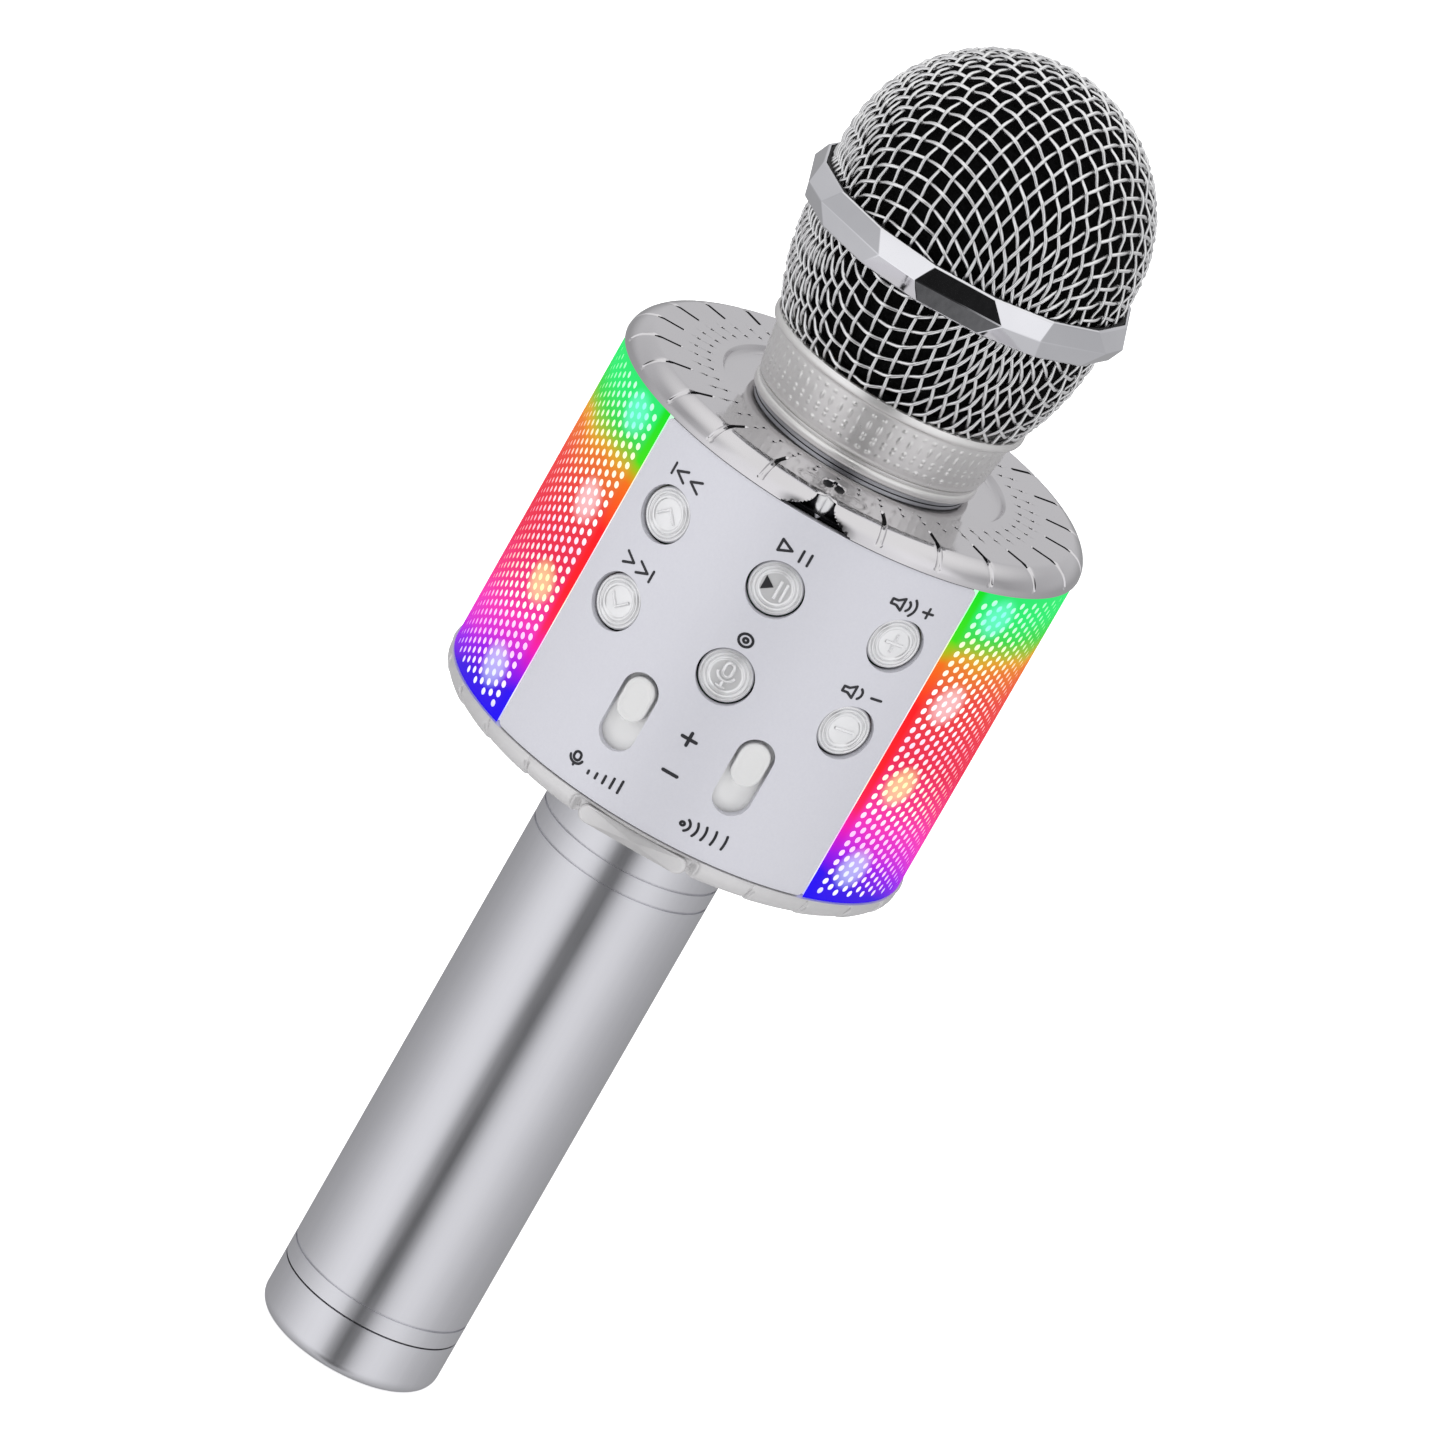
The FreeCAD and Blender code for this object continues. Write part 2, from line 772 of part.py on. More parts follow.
def make_side(side, angle):
    """Grille, light diffuser, LED strips and loudspeaker of one side."""
    keep(
        curved_sheet(
            f"{side}_grille",
            "barrel_radius - 0.1",
            "grille_skin",
            "barrel_bottom + skin_gap",
            "barrel_top - skin_gap",
            angle,
            "grille_half_angle",
        )
    )
    keep(
        curved_sheet(
            f"{side}_light_diffuser",
            "spigot_outside + 0.5",
            "diffuser_skin",
            "barrel_bottom + spigot_length + 0.2",
            "barrel_top - spigot_length - 0.2",
            angle,
            "grille_half_angle - 1",
        )
    )
    strips = []
    for index, turn in enumerate((-37, 37)):
        place = angle + turn
        pieces = [
            outward_block(
                f"{side}_strip{index}",
                "frame_outside + 0.2",
                "frame_outside + 1",
                "6",
                "barrel_bottom + 3",
                "barrel_top - 3",
                place,
            )
        ]
        for lamp in range(4):
            height = f"lowest_lamp + {lamp} * lamp_pitch"
            pieces.append(
                outward_block(
                    f"{side}_strip{index}_lamp{lamp}",
                    "frame_outside + 0.9",
                    "frame_outside + 1.6",
                    "3.5",
                    f"{height} - lamp_half",
                    f"{height} + lamp_half",
                    place,
                )
            )
        strips.append(fused(f"{side}_lit_strip{index}", *pieces))
    keep(grouped(f"{side}_led_strips", *strips))

    basket = turned(
        f"{side}_speaker_basket",
        [
            ("speaker_face", "speaker_half - 2"),
            ("speaker_face", "speaker_half - 0.2"),
            ("speaker_face - 1.4", "speaker_half - 0.2"),
            ("speaker_face - 11.4", "13"),
            ("speaker_face - 13", "13"),
            ("speaker_face - 13", "6.5"),
            ("speaker_face - 11.5", "6.5"),
            ("speaker_face - 11.5", "12"),
            ("speaker_face - 1.4", "speaker_half - 2"),
        ],
        "H_Axis",
    )
    basket.Placement = facing(angle, "speaker_height")
    flange = cut(
        f"{side}_speaker_flange",
        outward_block(
            f"{side}_speaker_plate",
            "speaker_face - 1.4",
            "speaker_face",
            "2 * speaker_half",
            "speaker_height - speaker_half",
            "speaker_height + speaker_half",
            angle,
        ),
        outward_rod(f"{side}_speaker_mouth", "speaker_half - 2", "20", "30", angle, "speaker_height"),
    )
    keep(fused(f"{side}_speaker_frame", basket, flange))
    cone = turned(
        f"{side}_speaker_cone",
        [
            ("speaker_face - 0.2", "speaker_half - 2.3"),
            ("speaker_face - 0.2", "speaker_half - 4.2"),
            ("speaker_face - 8.4", "5.8"),
            ("speaker_face - 6.9", "0"),
            ("speaker_face - 7.5", "0"),
            ("speaker_face - 9.2", "6.2"),
            ("speaker_face - 1", "speaker_half - 3.6"),
            ("speaker_face - 1", "speaker_half - 2.3"),
        ],
        "H_Axis",
    )
    cone.Placement = facing(angle, "speaker_height")
    keep(cone)
    keep(
        outward_rod(
            f"{side}_speaker_magnet", "11", "speaker_face - 19.4", "speaker_face - 13.1", angle, "speaker_height"
        )
    )


# Controls


def make_buttons():
    for name, (column, row) in BUTTONS.items():
        ring = "button_radius - 1.1"
        button = turned(
            name,
            [
                ("plunger_end + button_travel + 0.05", "0"),
                ("button_face", "0"),
                ("button_face", ring),
                ("button_face - 0.15", ring),
                ("button_face - 0.15", ring + " + 0.3"),
                ("button_face", ring + " + 0.3"),
                ("button_face", "button_radius"),
                ("flange_face", "button_radius"),
                ("flange_face", "flange_radius"),
                ("flange_face - 0.9", "flange_radius"),
                ("flange_face - 0.9", "stem_radius"),
                ("plunger_end + button_travel + 0.05", "stem_radius"),
            ],
            "H_Axis",
        )
        button.Placement = facing(column * number("button_angle"), row)
        button.setExpression("Placement.Base.z", bound(row))
        keep(button)


def make_tact_switches():
    switches = []
    for name, (column, row) in BUTTONS.items():
        angle = column * number("button_angle")
        box = outward_block(
            f"{name}_switch_box",
            "board_face + 0.05",
            "board_face + tact_depth",
            "tact_body",
            f"{row} - tact_body / 2",
            f"{row} + tact_body / 2",
            angle,
        )
        plunger = outward_rod(f"{name}_plunger", "1.7", "board_face + 1", "plunger_end", angle, row)
        switches.append(fused(f"{name}_switch", box, plunger))
    keep(grouped("tact_switches", *switches))


def make_boards():
    keep(
        fused(
            "main_board",
            outward_block("main_board_low", "board_face - board", "board_face", "34", "116.5", "138.5", 0),
            outward_block("main_board_high", "board_face - board", "board_face", "14.6", "138", "169", 0),
        )
    )
    for side, turn in (("left", -1), ("right", 1)):
        keep(
            outward_block(
                f"{side}_key_board",
                "board_face - board",
                "board_face",
                "13",
                "139.2",
                "168.5",
                turn * number("button_angle"),
            )
        )
    keep(outward_block("port_board", "port_board_face - board", "port_board_face", "32", "117", "167", 180))


def make_sliders():
    for name, column in SLIDERS.items():
        angle = column * number("slider_angle")
        case = outward_block(f"{name}_pot_case", "30.3", "36.3", "7", "120", "141", angle)
        groove = outward_block(
            f"{name}_pot_groove", "34", "37", "2.4", "slider_middle - 5.5", "slider_middle + 5.6", angle
        )
        keep(cut(f"{name}_slide_pot", case, groove))
        cap = outward_slot(
            f"{name}_knob_cap",
            "skirt_face - 0.4",
            "knob_face",
            "knob_width",
            "slider_rest - knob_length / 2",
            "slider_rest + knob_length / 2",
            angle,
        )
        skirt = outward_block(
            f"{name}_knob_skirt", "skirt_face - skirt", "skirt_face", "skirt_width", "skirt_low", "skirt_high", angle
        )
        lever = outward_block(
            f"{name}_knob_lever", "34.5", "skirt_face - 0.4", "1.6", "slider_rest - 2", "slider_rest + 2", angle
        )
        keep(fused(f"{name}_slider_knob", cap, skirt, lever))


def make_ports():
    back = "port_board_face + 0.05"
    charge = cut(
        "charge_port",
        outward_block("charge_shell", back, "39.8", "9", "charge_height - 1.6", "charge_height + 1.6", 180),
        outward_block("charge_hollow", "33", "41", "8.4", "charge_height - 1.3", "charge_height + 1.3", 180),
    )
    keep(charge)
    audio = cut(
        "audio_jack",
        fused(
            "audio_blank",
            outward_block("audio_case", back, "37.6", "7", "audio_height - 3.2", "audio_height + 3.2", 180),
            outward_rod("audio_nose", "2.9", "37", "40.3", 180, "audio_height"),
        ),
        outward_rod("audio_bore_hole", "audio_bore", "25.8", "41", 180, "audio_height"),
    )
    keep(audio)
    card = cut(
        "card_slot",
        outward_block("card_case", back, "38.1", "15", "card_height - 1.4", "card_height + 1.4", 180),
        outward_block("card_gap", "27", "39", "11.4", "card_height - 0.5", "card_height + 0.5", 180),
    )
    keep(card)
    switch = cut(
        "power_switch_body",
        outward_block("switch_case", back, "36.6", "11", "switch_height - 3", "switch_height + 3", 180),
        outward_block("switch_groove", "34.5", "37", "7", "switch_height - 1.2", "switch_height + 1.2", 180),
    )
    keep(switch)
    rest = "-1.5"
    knob = fused(
        "power_switch_knob",
        outward_block("switch_stem", "35", "37.5", "2", "switch_height - 0.8", "switch_height + 0.8", 180, rest),
        outward_block("switch_cap", "37.4", "40.85", "3.6", "switch_height - 1.2", "switch_height + 1.2", 180, rest),
    )
    keep(knob)


def make_leads():
    """Battery leads through the bush to the main board, and the capsule's lead down from the neck."""
    board_back = -number("board_face - board - 0.8")
    runs = []
    for index, across in enumerate((-2.5, 2.5)):
        runs.append(
            wire(
                f"battery_lead{index}",
                [
                    Vector(across, 0, number("cell_bottom + cell_length + 1.6")),
                    Vector(across, 0, 117),
                    Vector(across, board_back, 124),
                ],
            )
        )
    runs.append(
        wire("capsule_lead", [Vector(0, 0, 183.3), Vector(0, 0, 168), Vector(0, board_back, 160)])
    )
    keep(grouped("leads", *runs))


# Neck and head


def make_neck(screw_holes):
    flange_top = "top_face - top_plate - 0.2"
    corners = [
        ("neck_bore", "top_face - top_plate - 2.6"),
        ("20", "top_face - top_plate - 2.6"),
        ("20", flange_top),
        ("neck_radius", flange_top),
    ]
    for ridge in range(6):
        low = f"collar_bottom + 1 + {ridge} * thread_pitch"
        corners += [
            ("neck_radius", low),
            ("thread_crest", low + " + 0.5"),
            ("thread_crest", low + " + 0.8"),
            ("neck_radius", low + " + 1.3"),
        ]
    corners += [("neck_radius", "neck_top"), ("neck_bore", "neck_top")]
    keep(cut("neck_tube", turned("neck_tube_blank", corners), *screw_holes))

    keep(
        turned(
            "capsule_holder",
            [
                ("1.2", "183.5"),
                ("neck_bore - 0.2", "183.5"),
                ("neck_bore - 0.2", "neck_top + 0.4"),
                ("capsule_radius + 0.2", "neck_top + 0.4"),
                ("capsule_radius + 0.2", "185.3"),
                ("1.2", "185.3"),
            ],
        )
    )
    capsule = turned(
        "capsule",
        [("0", "185.5"), ("capsule_radius", "185.5"), ("capsule_radius", "203"), ("0", "203")],
    )
    round_circles(capsule, "1.2", ("capsule_radius", "203"))
    keep(capsule)
    keep(
        turned(
            "slip_washer",
            [
                ("collar_bore", "dish_floor + 0.1"),
                ("18.9", "dish_floor + 0.1"),
                ("18.9", "collar_bottom - 0.15"),
                ("collar_bore", "collar_bottom - 0.15"),
            ],
        )
    )


def make_head():
    collar = turned(
        "head_collar",
        [
            ("collar_bore", "collar_bottom"),
            ("collar_lip_radius", "collar_bottom"),
            ("collar_lip_radius", "collar_bottom + 2.5"),
            ("collar_lip_radius - 0.5", "collar_bottom + 2.5"),
            ("collar_lip_radius - 0.5", "collar_bottom + 2.8"),
            ("collar_radius - 0.5", "collar_bottom + 2.8"),
            ("collar_radius", "collar_top - 2.5"),
            ("collar_flange_radius", "collar_top - 2.4"),
            ("collar_flange_radius", "collar_top"),
            ("21.9", "collar_top"),
            ("21.9", "collar_top - 1.4"),
            ("20.5", "collar_top - 1.4"),
            ("20.5", "collar_top"),
            ("19.6", "collar_top"),
            ("19.6", "collar_top - 2"),
            ("collar_bore", "collar_top - 3.5"),
        ],
    )
    round_circles(collar, "0.7", ("collar_lip_radius", "collar_bottom"), ("collar_flange_radius", "collar_top - 2.4"))
    knurl = [
        ("collar_radius - 0.6", "-0.22"),
        ("collar_radius + 1", "-0.22"),
        ("collar_radius + 1", "0.22"),
        ("collar_radius - 0.6", "0.22"),
    ]
    pocket_round(collar, "knurl", knurl, 72, "5.6", "collar_bottom + 3.4", upward=True)
    keep(collar)

    bowl = [
        ("20.7", "collar_top - 1.2"),
        ("21.7", "collar_top - 1.2"),
        ("21.7", "collar_top + 0.2"),
        ("22.6", "collar_top + 1"),
        ("24.1", "collar_top + 5"),
        ("25.1", "collar_top + 9"),
        ("25.9", "collar_top + 13"),
        ("26.2", "ring_bottom"),
        ("26.2", "ring_ridge - 1"),
    ]
    inner_bowl = [
        ("20.7", "collar_top + 0.5"),
        ("22.6 - mesh_skin", "collar_top + 1.4"),
        ("24.1 - mesh_skin", "collar_top + 5.2"),
        ("25.1 - mesh_skin", "collar_top + 9.1"),
        ("25.9 - mesh_skin", "collar_top + 13"),
        ("26.2 - mesh_skin", "ring_bottom"),
        ("26.2 - mesh_skin", "ring_ridge - 1"),
    ]
    keep(turned("lower_grille", bowl + inner_bowl[::-1]))
    make_ring()

    skirt_low = "ring_ridge + 1"
    outer = fused(
        "upper_grille_outside",
        rod("dome_skirt", "dome_radius", skirt_low, "dome_centre"),
        ball("dome_ball", "dome_radius"),
    )
    inner = fused(
        "upper_grille_inside",
        rod("dome_skirt_hollow", "dome_radius - mesh_skin", "ring_bottom", "dome_centre"),
        ball("dome_ball_hollow", "dome_radius - mesh_skin"),
    )
    keep(cut("upper_grille", outer, inner))

    foam = turned(
        "foam_blank",
        [
            ("0", "collar_top + 1.6"),
            ("21.2", "collar_top + 1.6"),
            ("22.8", "collar_top + 5"),
            ("23.8", "collar_top + 9"),
            ("24.5", "collar_top + 13"),
            ("foam_radius", "ring_bottom"),
            ("foam_radius", "dome_centre"),
            ("0", "dome_centre"),
        ],
    )
    cavity = rod("foam_cavity", "capsule_radius + 2", "collar_top", "collar_top + 16")
    keep(cut("foam_windscreen", fused("foam_solid", foam, ball("foam_ball", "foam_radius")), cavity))


def ball(name, radius):
    """The upper half of a ball at the dome's centre."""
    item = doc.addObject("Part::Sphere", name)
    item.Angle1 = 0
    bind(item, Radius=radius)
    item.Placement = Placement(Vector(0, 0, number("dome_centre")), Rotation())
    item.setExpression("Placement.Base.z", bound("dome_centre"))
    return item


def make_ring():
    """The ring between the two grilles: eight flats that are wide at the ridge, and eight narrow ones."""
    body = new_body("ring_blank")
    sections = []
    for name, radius, height, starts, ends in (
        ("ring_low", "ring_edge_radius", "ring_bottom", -6.8, 15.5),
        ("ring_middle", "ring_ridge_radius", "ring_ridge", -10, 21),
        ("ring_high", "ring_edge_radius", "ring_top", -6.8, 15.5),
    ):
        corners = []
        for angle in [45 * flat + end for flat in range(8) for end in (starts, ends)]:
            ahead = outward(angle)
            corners.append((f"{ahead.x:.9f} * {radius}", f"{ahead.y:.9f} * {radius}"))
        sections.append(outline(body, name, "XY_Plane", corners, height))
    loft = body.newObject("PartDesign::AdditiveLoft", "ring_loft")
    loft.Profile = sections[0]
    loft.Sections = sections[1:]
    loft.Ruled = True
    below = "ring_ridge - 0.7"
    above = "ring_ridge + 0.7"
    keep(
        cut(
            "grille_ring",
            body,
            rod("ring_bore_low", "ring_bore", "ring_bottom - 1", below),
            rod("ring_bore_rib", "25.2", "ring_bottom - 1", "ring_top + 1"),
            rod("ring_bore_high", "ring_bore", above, "ring_top + 1"),
        )
    )


def write_steps():
    """Checks every object of the document and writes one file for each sub-part."""
    doc.recompute()
    for item in doc.Objects:
        if "Invalid" in item.State or "Error" in item.State:
            raise ValueError(f"{item.Name} didn't compute")
    for item in nodes:
        shape = item.Shape
        if shape.isNull() or not shape.isValid() or not shape.Solids or shape.Volume <= 0:
            raise ValueError(f"{item.Label} has no valid solid")
        shape.exportStep(f"parts/{item.Label}.step")
        print(f"{item.Label}: {len(shape.Solids)} solids, {shape.Volume:.0f} mm3")
    print(len(nodes), "nodes")


make_handle()
make_bottom_cover()
neck_screw_holes = make_top_cover()
make_frame()
make_control_panel()
make_rear_panel()
make_side("left", -90)
make_side("right", 90)
make_buttons()
make_tact_switches()
make_boards()
make_sliders()
make_ports()
make_leads()
make_neck(neck_screw_holes)
make_head()
write_steps()
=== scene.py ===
import math

import bpy
import numpy
from mathutils import Euler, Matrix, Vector


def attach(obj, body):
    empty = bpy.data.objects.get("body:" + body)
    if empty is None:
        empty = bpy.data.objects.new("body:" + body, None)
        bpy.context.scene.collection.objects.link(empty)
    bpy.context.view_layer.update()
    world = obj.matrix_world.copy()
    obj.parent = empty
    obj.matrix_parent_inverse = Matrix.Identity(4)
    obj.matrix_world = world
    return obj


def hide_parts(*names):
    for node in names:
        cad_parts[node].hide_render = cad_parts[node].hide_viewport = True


# The looks of a toy karaoke microphone. Lengths are in millimetres and turn to metres as each mesh is made.
# Angles round the axis are in degrees from the front, positive towards +X.

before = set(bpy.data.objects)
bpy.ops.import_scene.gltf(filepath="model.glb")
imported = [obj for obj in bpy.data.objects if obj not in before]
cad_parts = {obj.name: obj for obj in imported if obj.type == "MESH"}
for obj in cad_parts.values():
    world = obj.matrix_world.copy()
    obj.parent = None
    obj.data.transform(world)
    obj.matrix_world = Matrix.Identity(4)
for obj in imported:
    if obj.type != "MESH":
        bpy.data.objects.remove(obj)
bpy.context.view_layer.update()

# barrel and its covers
BARREL = 40.6
COVER = 40.9
BARREL_FOOT = 115.0
BARREL_HEAD = 173.4
TOP_FACE = 177.3
DISH_FLOOR = 176.1
BOTTOM_FACE = 111.1
SLOT_STEP = 15.0
DOT_STEP = 7.5
DOT_RINGS = (27.9, 30.2)
DOT = 0.36
EYE_WIDE, EYE_DEEP, EYE_RADIUS = 1.9, 2.0, 32.2
NOTCH_FOOT = 6.3
NOTCH_HEAD = 1.7
NOTCH_RISE = 3.3
# side grilles
GRILLE_EDGE = 46.7
GRILLE_FACE = 40.5
GRILLE_BACK = 40.38
# panel
BUTTON_FACE = 39.8
SKIRT_FOOT = 123.3
SKIRT_HEAD = 143.3
# head
DOME = 25.7
DOME_CENTRE = 218.7
RING_RIDGE = 211.6
WIRE = 0.32
WIRE_PITCH = 2.86

BUTTONS = {
    "button_previous": (-30.7, 160.3),
    "button_play": (0.0, 160.3),
    "button_volume_up": (30.7, 160.3),
    "button_next": (-30.7, 143.9),
    "button_record": (0.0, 143.9),
    "button_volume_down": (30.7, 143.9),
}
SLIDERS = {"voice_slider_knob": (-14.8, 132.9), "echo_slider_knob": (14.8, 132.9)}


# ---- shader maths ----


class Amount:
    """A value that varies over a surface. Sums and products of amounts add the nodes that work them out."""

    def __init__(self, finish, socket):
        self.finish = finish
        self.socket = socket

    def worked(self, operation, *terms):
        return self.finish.node("ShaderNodeMath", {"operation": operation}, dict(enumerate(terms)))

    def __add__(self, other):
        return self.worked("ADD", self, other)

    def __radd__(self, other):
        return self.worked("ADD", other, self)

    def __sub__(self, other):
        return self.worked("SUBTRACT", self, other)

    def __rsub__(self, other):
        return self.worked("SUBTRACT", other, self)

    def __mul__(self, other):
        return self.worked("MULTIPLY", self, other)

    def __rmul__(self, other):
        return self.worked("MULTIPLY", other, self)

    def __truediv__(self, other):
        return self.worked("DIVIDE", self, other)

    def __pow__(self, other):
        return self.worked("POWER", self, other)

    def __gt__(self, other):
        return self.worked("GREATER_THAN", self, other)

    def __lt__(self, other):
        return self.worked("LESS_THAN", self, other)

    def size(self):
        return self.worked("ABSOLUTE", self)

    def or_more(self, other):
        return self.worked("MAXIMUM", self, other)

    def folded(self, half):
        """The same value wrapped into the range from -half to half."""
        return self.worked("WRAP", self, half, -half)

    def between(self, low, high):
        """0 below low, 1 above high, and smooth in between."""
        return self.finish.node(
            "ShaderNodeMapRange",
            {"interpolation_type": "SMOOTHSTEP", "clamp": True},
            {"Value": self, "From Min": low, "From Max": high},
        )


def paint(red, green, blue):
    """A colour given in display values from 0 to 255."""
    shown = [value / 255 for value in (red, green, blue)]
    linear = [value / 12.92 if value <= 0.04045 else ((value + 0.055) / 1.055) ** 2.4 for value in shown]
    return (*linear, 1.0)


class Nodes:
    """A node tree and the one way in which nodes are added to it."""

    def __init__(self, tree):
        self.tree = tree

    def node(self, kind, settings=None, inputs=None, output=0):
        made = self.tree.nodes.new(kind)
        for key, value in (settings or {}).items():
            if key == "stops":
                self.fill_ramp(made.color_ramp, value)
            else:
                setattr(made, key, value)
        for key, value in (inputs or {}).items():
            if isinstance(value, Amount):
                self.tree.links.new(value.socket, made.inputs[key])
            else:
                made.inputs[key].default_value = value
        return Amount(self, made.outputs[output] if made.outputs else None)

    def fill_ramp(self, ramp, stops):
        while len(ramp.elements) < len(stops):
            ramp.elements.new(0.5)
        for element, (position, _) in zip(ramp.elements, stops):
            element.position = position
        for element, (_, colour) in zip(ramp.elements, stops):
            element.color = colour

    def ramp(self, share, stops):
        return self.node("ShaderNodeValToRGB", {"stops": stops}, {0: share})

    def mixed(self, share, first, second):
        """One colour turning into another as share goes from 0 to 1."""
        return self.node("ShaderNodeMix", {"data_type": "RGBA"}, {0: share, 6: first, 7: second}, 2)

    def heading(self, across, ahead):
        """The angle in degrees from straight ahead, positive towards across."""
        turn = self.node("ShaderNodeMath", {"operation": "ARCTAN2"}, {0: across, 1: ahead})
        return turn * (180 / math.pi)


class Finish(Nodes):
    """One material. Its shader's uniform values are given by name when it is made."""

    def __init__(self, name, **uniform):
        self.material = bpy.data.materials.new(name)
        self.material.use_nodes = True
        super().__init__(self.material.node_tree)
        self.shader = self.tree.nodes["Principled BSDF"]
        self.place = self.node("ShaderNodeTexCoord", output="Object")
        for key, value in uniform.items():
            self.shader.inputs[key.replace("_", " ").title().replace("Ior", "IOR")].default_value = value

    def noise(self, scale, detail=3.0, stretch=(1, 1, 1)):
        place = self.place
        if stretch != (1, 1, 1):
            place = self.node("ShaderNodeVectorMath", {"operation": "MULTIPLY"}, {0: place, 1: stretch})
        return self.node("ShaderNodeTexNoise", None, {"Vector": place, "Scale": scale, "Detail": detail})

    def along(self, axis):
        """A coordinate of the surface, in millimetres."""
        metres = self.node("ShaderNodeSeparateXYZ", None, {0: self.place}, "XYZ".index(axis))
        return metres * 1000.0

    def feed(self, **inputs):
        for key, value in inputs.items():
            self.tree.links.new(value.socket, self.shader.inputs[key.replace("_", " ").title()])

    def bump(self, height, strength, distance):
        sockets = {"Height": height, "Strength": strength, "Distance": distance}
        self.feed(normal=self.node("ShaderNodeBump", None, sockets))


# ---- mesh making ----


def spot(angle, radius, height):
    turn = math.radians(angle)
    return (radius * math.sin(turn), -radius * math.cos(turn), height)


def net_faces(rows, columns, wrap_rows=False, wrap_columns=False, start=0):
    """Four-sided faces over a grid of points held row by row."""
    low, left = numpy.meshgrid(
        numpy.arange(rows if wrap_rows else rows - 1),
        numpy.arange(columns if wrap_columns else columns - 1),
        indexing="ij",
    )
    high = (low + 1) % rows
    right = (left + 1) % columns
    faces = numpy.stack(
        [low * columns + left, low * columns + right, high * columns + right, high * columns + left], -1
    )
    return faces.reshape(-1, 4) + start


class Stock:
    """Points and faces gathered for one piece."""

    def __init__(self):
        self.points = []
        self.faces = []
        self.count = 0

    def add(self, points, faces):
        points = numpy.asarray(points, float).reshape(-1, 3)
        self.points.append(points)
        self.faces.extend([corner + self.count for corner in face] for face in faces)
        self.count += len(points)
        return self

    def piece(self, name, finish, slot, body, stands_for=(), crease=35):
        mesh = bpy.data.meshes.new(name)
        mesh.from_pydata((numpy.concatenate(self.points) * 0.001).tolist(), [], self.faces)
        mesh.validate()
        mesh.shade_smooth()
        mesh.set_sharp_from_angle(angle=math.radians(crease))
        mesh.materials.append(finish.material)
        made = bpy.data.objects.new(name, mesh)
        bpy.context.scene.collection.objects.link(made)
        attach(made, body)
        if stands_for:
            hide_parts(*stands_for)
        return made


def spun(profile, angles, sink=None):
    """A turned shape from a closed profile of (radius, height) points.

    sink(radius, height, angle) gives how deep the surface is pressed in along its own normal."""
    profile = numpy.asarray(profile, float)
    ahead = numpy.roll(profile, -1, 0) - numpy.roll(profile, 1, 0)
    normals = numpy.stack([ahead[:, 1], -ahead[:, 0]], -1)
    normals /= numpy.linalg.norm(normals, axis=1, keepdims=True) + 1e-12
    angles = numpy.asarray(angles, float)
    radius = numpy.repeat(profile[:, :1], len(angles), 1)
    height = numpy.repeat(profile[:, 1:], len(angles), 1)
    if sink is not None:
        turned_angles = numpy.repeat(angles[None, :], len(profile), 0)
        depth = sink(radius, height, turned_angles)
        radius, height = radius - depth * normals[:, :1], height - depth * normals[:, 1:]
    turn = numpy.radians(angles)[None, :]
    points = numpy.stack([radius * numpy.sin(turn), -radius * numpy.cos(turn), height], -1)
    return points.reshape(-1, 3), net_faces(len(profile), len(angles), True, True).tolist()


def tube(path, radius, sides=8):
    """A round bar along a path, with its ends closed."""
    path = numpy.asarray(path, float)
    ahead = numpy.gradient(path, axis=0)
    ahead /= numpy.linalg.norm(ahead, axis=1, keepdims=True) + 1e-12
    across = numpy.cross(ahead[0], [0.31, 0.87, 0.38])
    turn = numpy.linspace(0, 2 * math.pi, sides, endpoint=False)
    rings = []
    for point, direction in zip(path, ahead):
        across = across - direction * numpy.dot(across, direction)
        across /= numpy.linalg.norm(across)
        up = numpy.cross(direction, across)
        ring = numpy.outer(numpy.cos(turn), across) + numpy.outer(numpy.sin(turn), up)
        rings.append(point + radius * ring)
    faces = net_faces(len(path), sides, False, True).tolist()
    faces.append(list(range(sides))[::-1])
    faces.append([(len(path) - 1) * sides + side for side in range(sides)])
    return numpy.concatenate(rings), faces


def bent(points, angle):
    """Flat points (across, up, out) laid on the barrel: out is the distance from the axis."""
    points = numpy.asarray(points, float)
    turn = numpy.radians(angle) + points[:, 0] / BARREL
    return numpy.stack([points[:, 2] * numpy.sin(turn), -points[:, 2] * numpy.cos(turn), points[:, 1]], -1)


def faced(points, angle, centre_height):
    """Points (across, up, out) on a flat face that looks outwards at an angle.

    out is the distance from the axis."""
    points = numpy.asarray(points, float)
    turn = math.radians(angle)
    side = numpy.array([math.cos(turn), math.sin(turn), 0])
    out = numpy.array([math.sin(turn), -math.cos(turn), 0])
    rise = numpy.array([0, 0, 1]) * (points[:, 1:2] + centre_height)
    return points[:, :1] * side + points[:, 2:] * out + rise


def capsule_line(start, end, width, round_points=6):
    """The outline of a short line with round ends."""
    start, end = numpy.asarray(start, float), numpy.asarray(end, float)
    heading = math.atan2(end[1] - start[1], end[0] - start[0])
    outline = []
    for centre, middle in ((end, heading), (start, heading + math.pi)):
        for turn in numpy.linspace(-math.pi / 2, math.pi / 2, round_points):
            direction = numpy.array([math.cos(middle + turn), math.sin(middle + turn)])
            outline.append(centre + width / 2 * direction)
    return numpy.array(outline)


def arc(centre, radius, start, end, steps=14):
    turn = numpy.radians(numpy.linspace(start, end, steps))
    return [(centre[0] + radius * math.cos(t), centre[1] + radius * math.sin(t)) for t in turn]


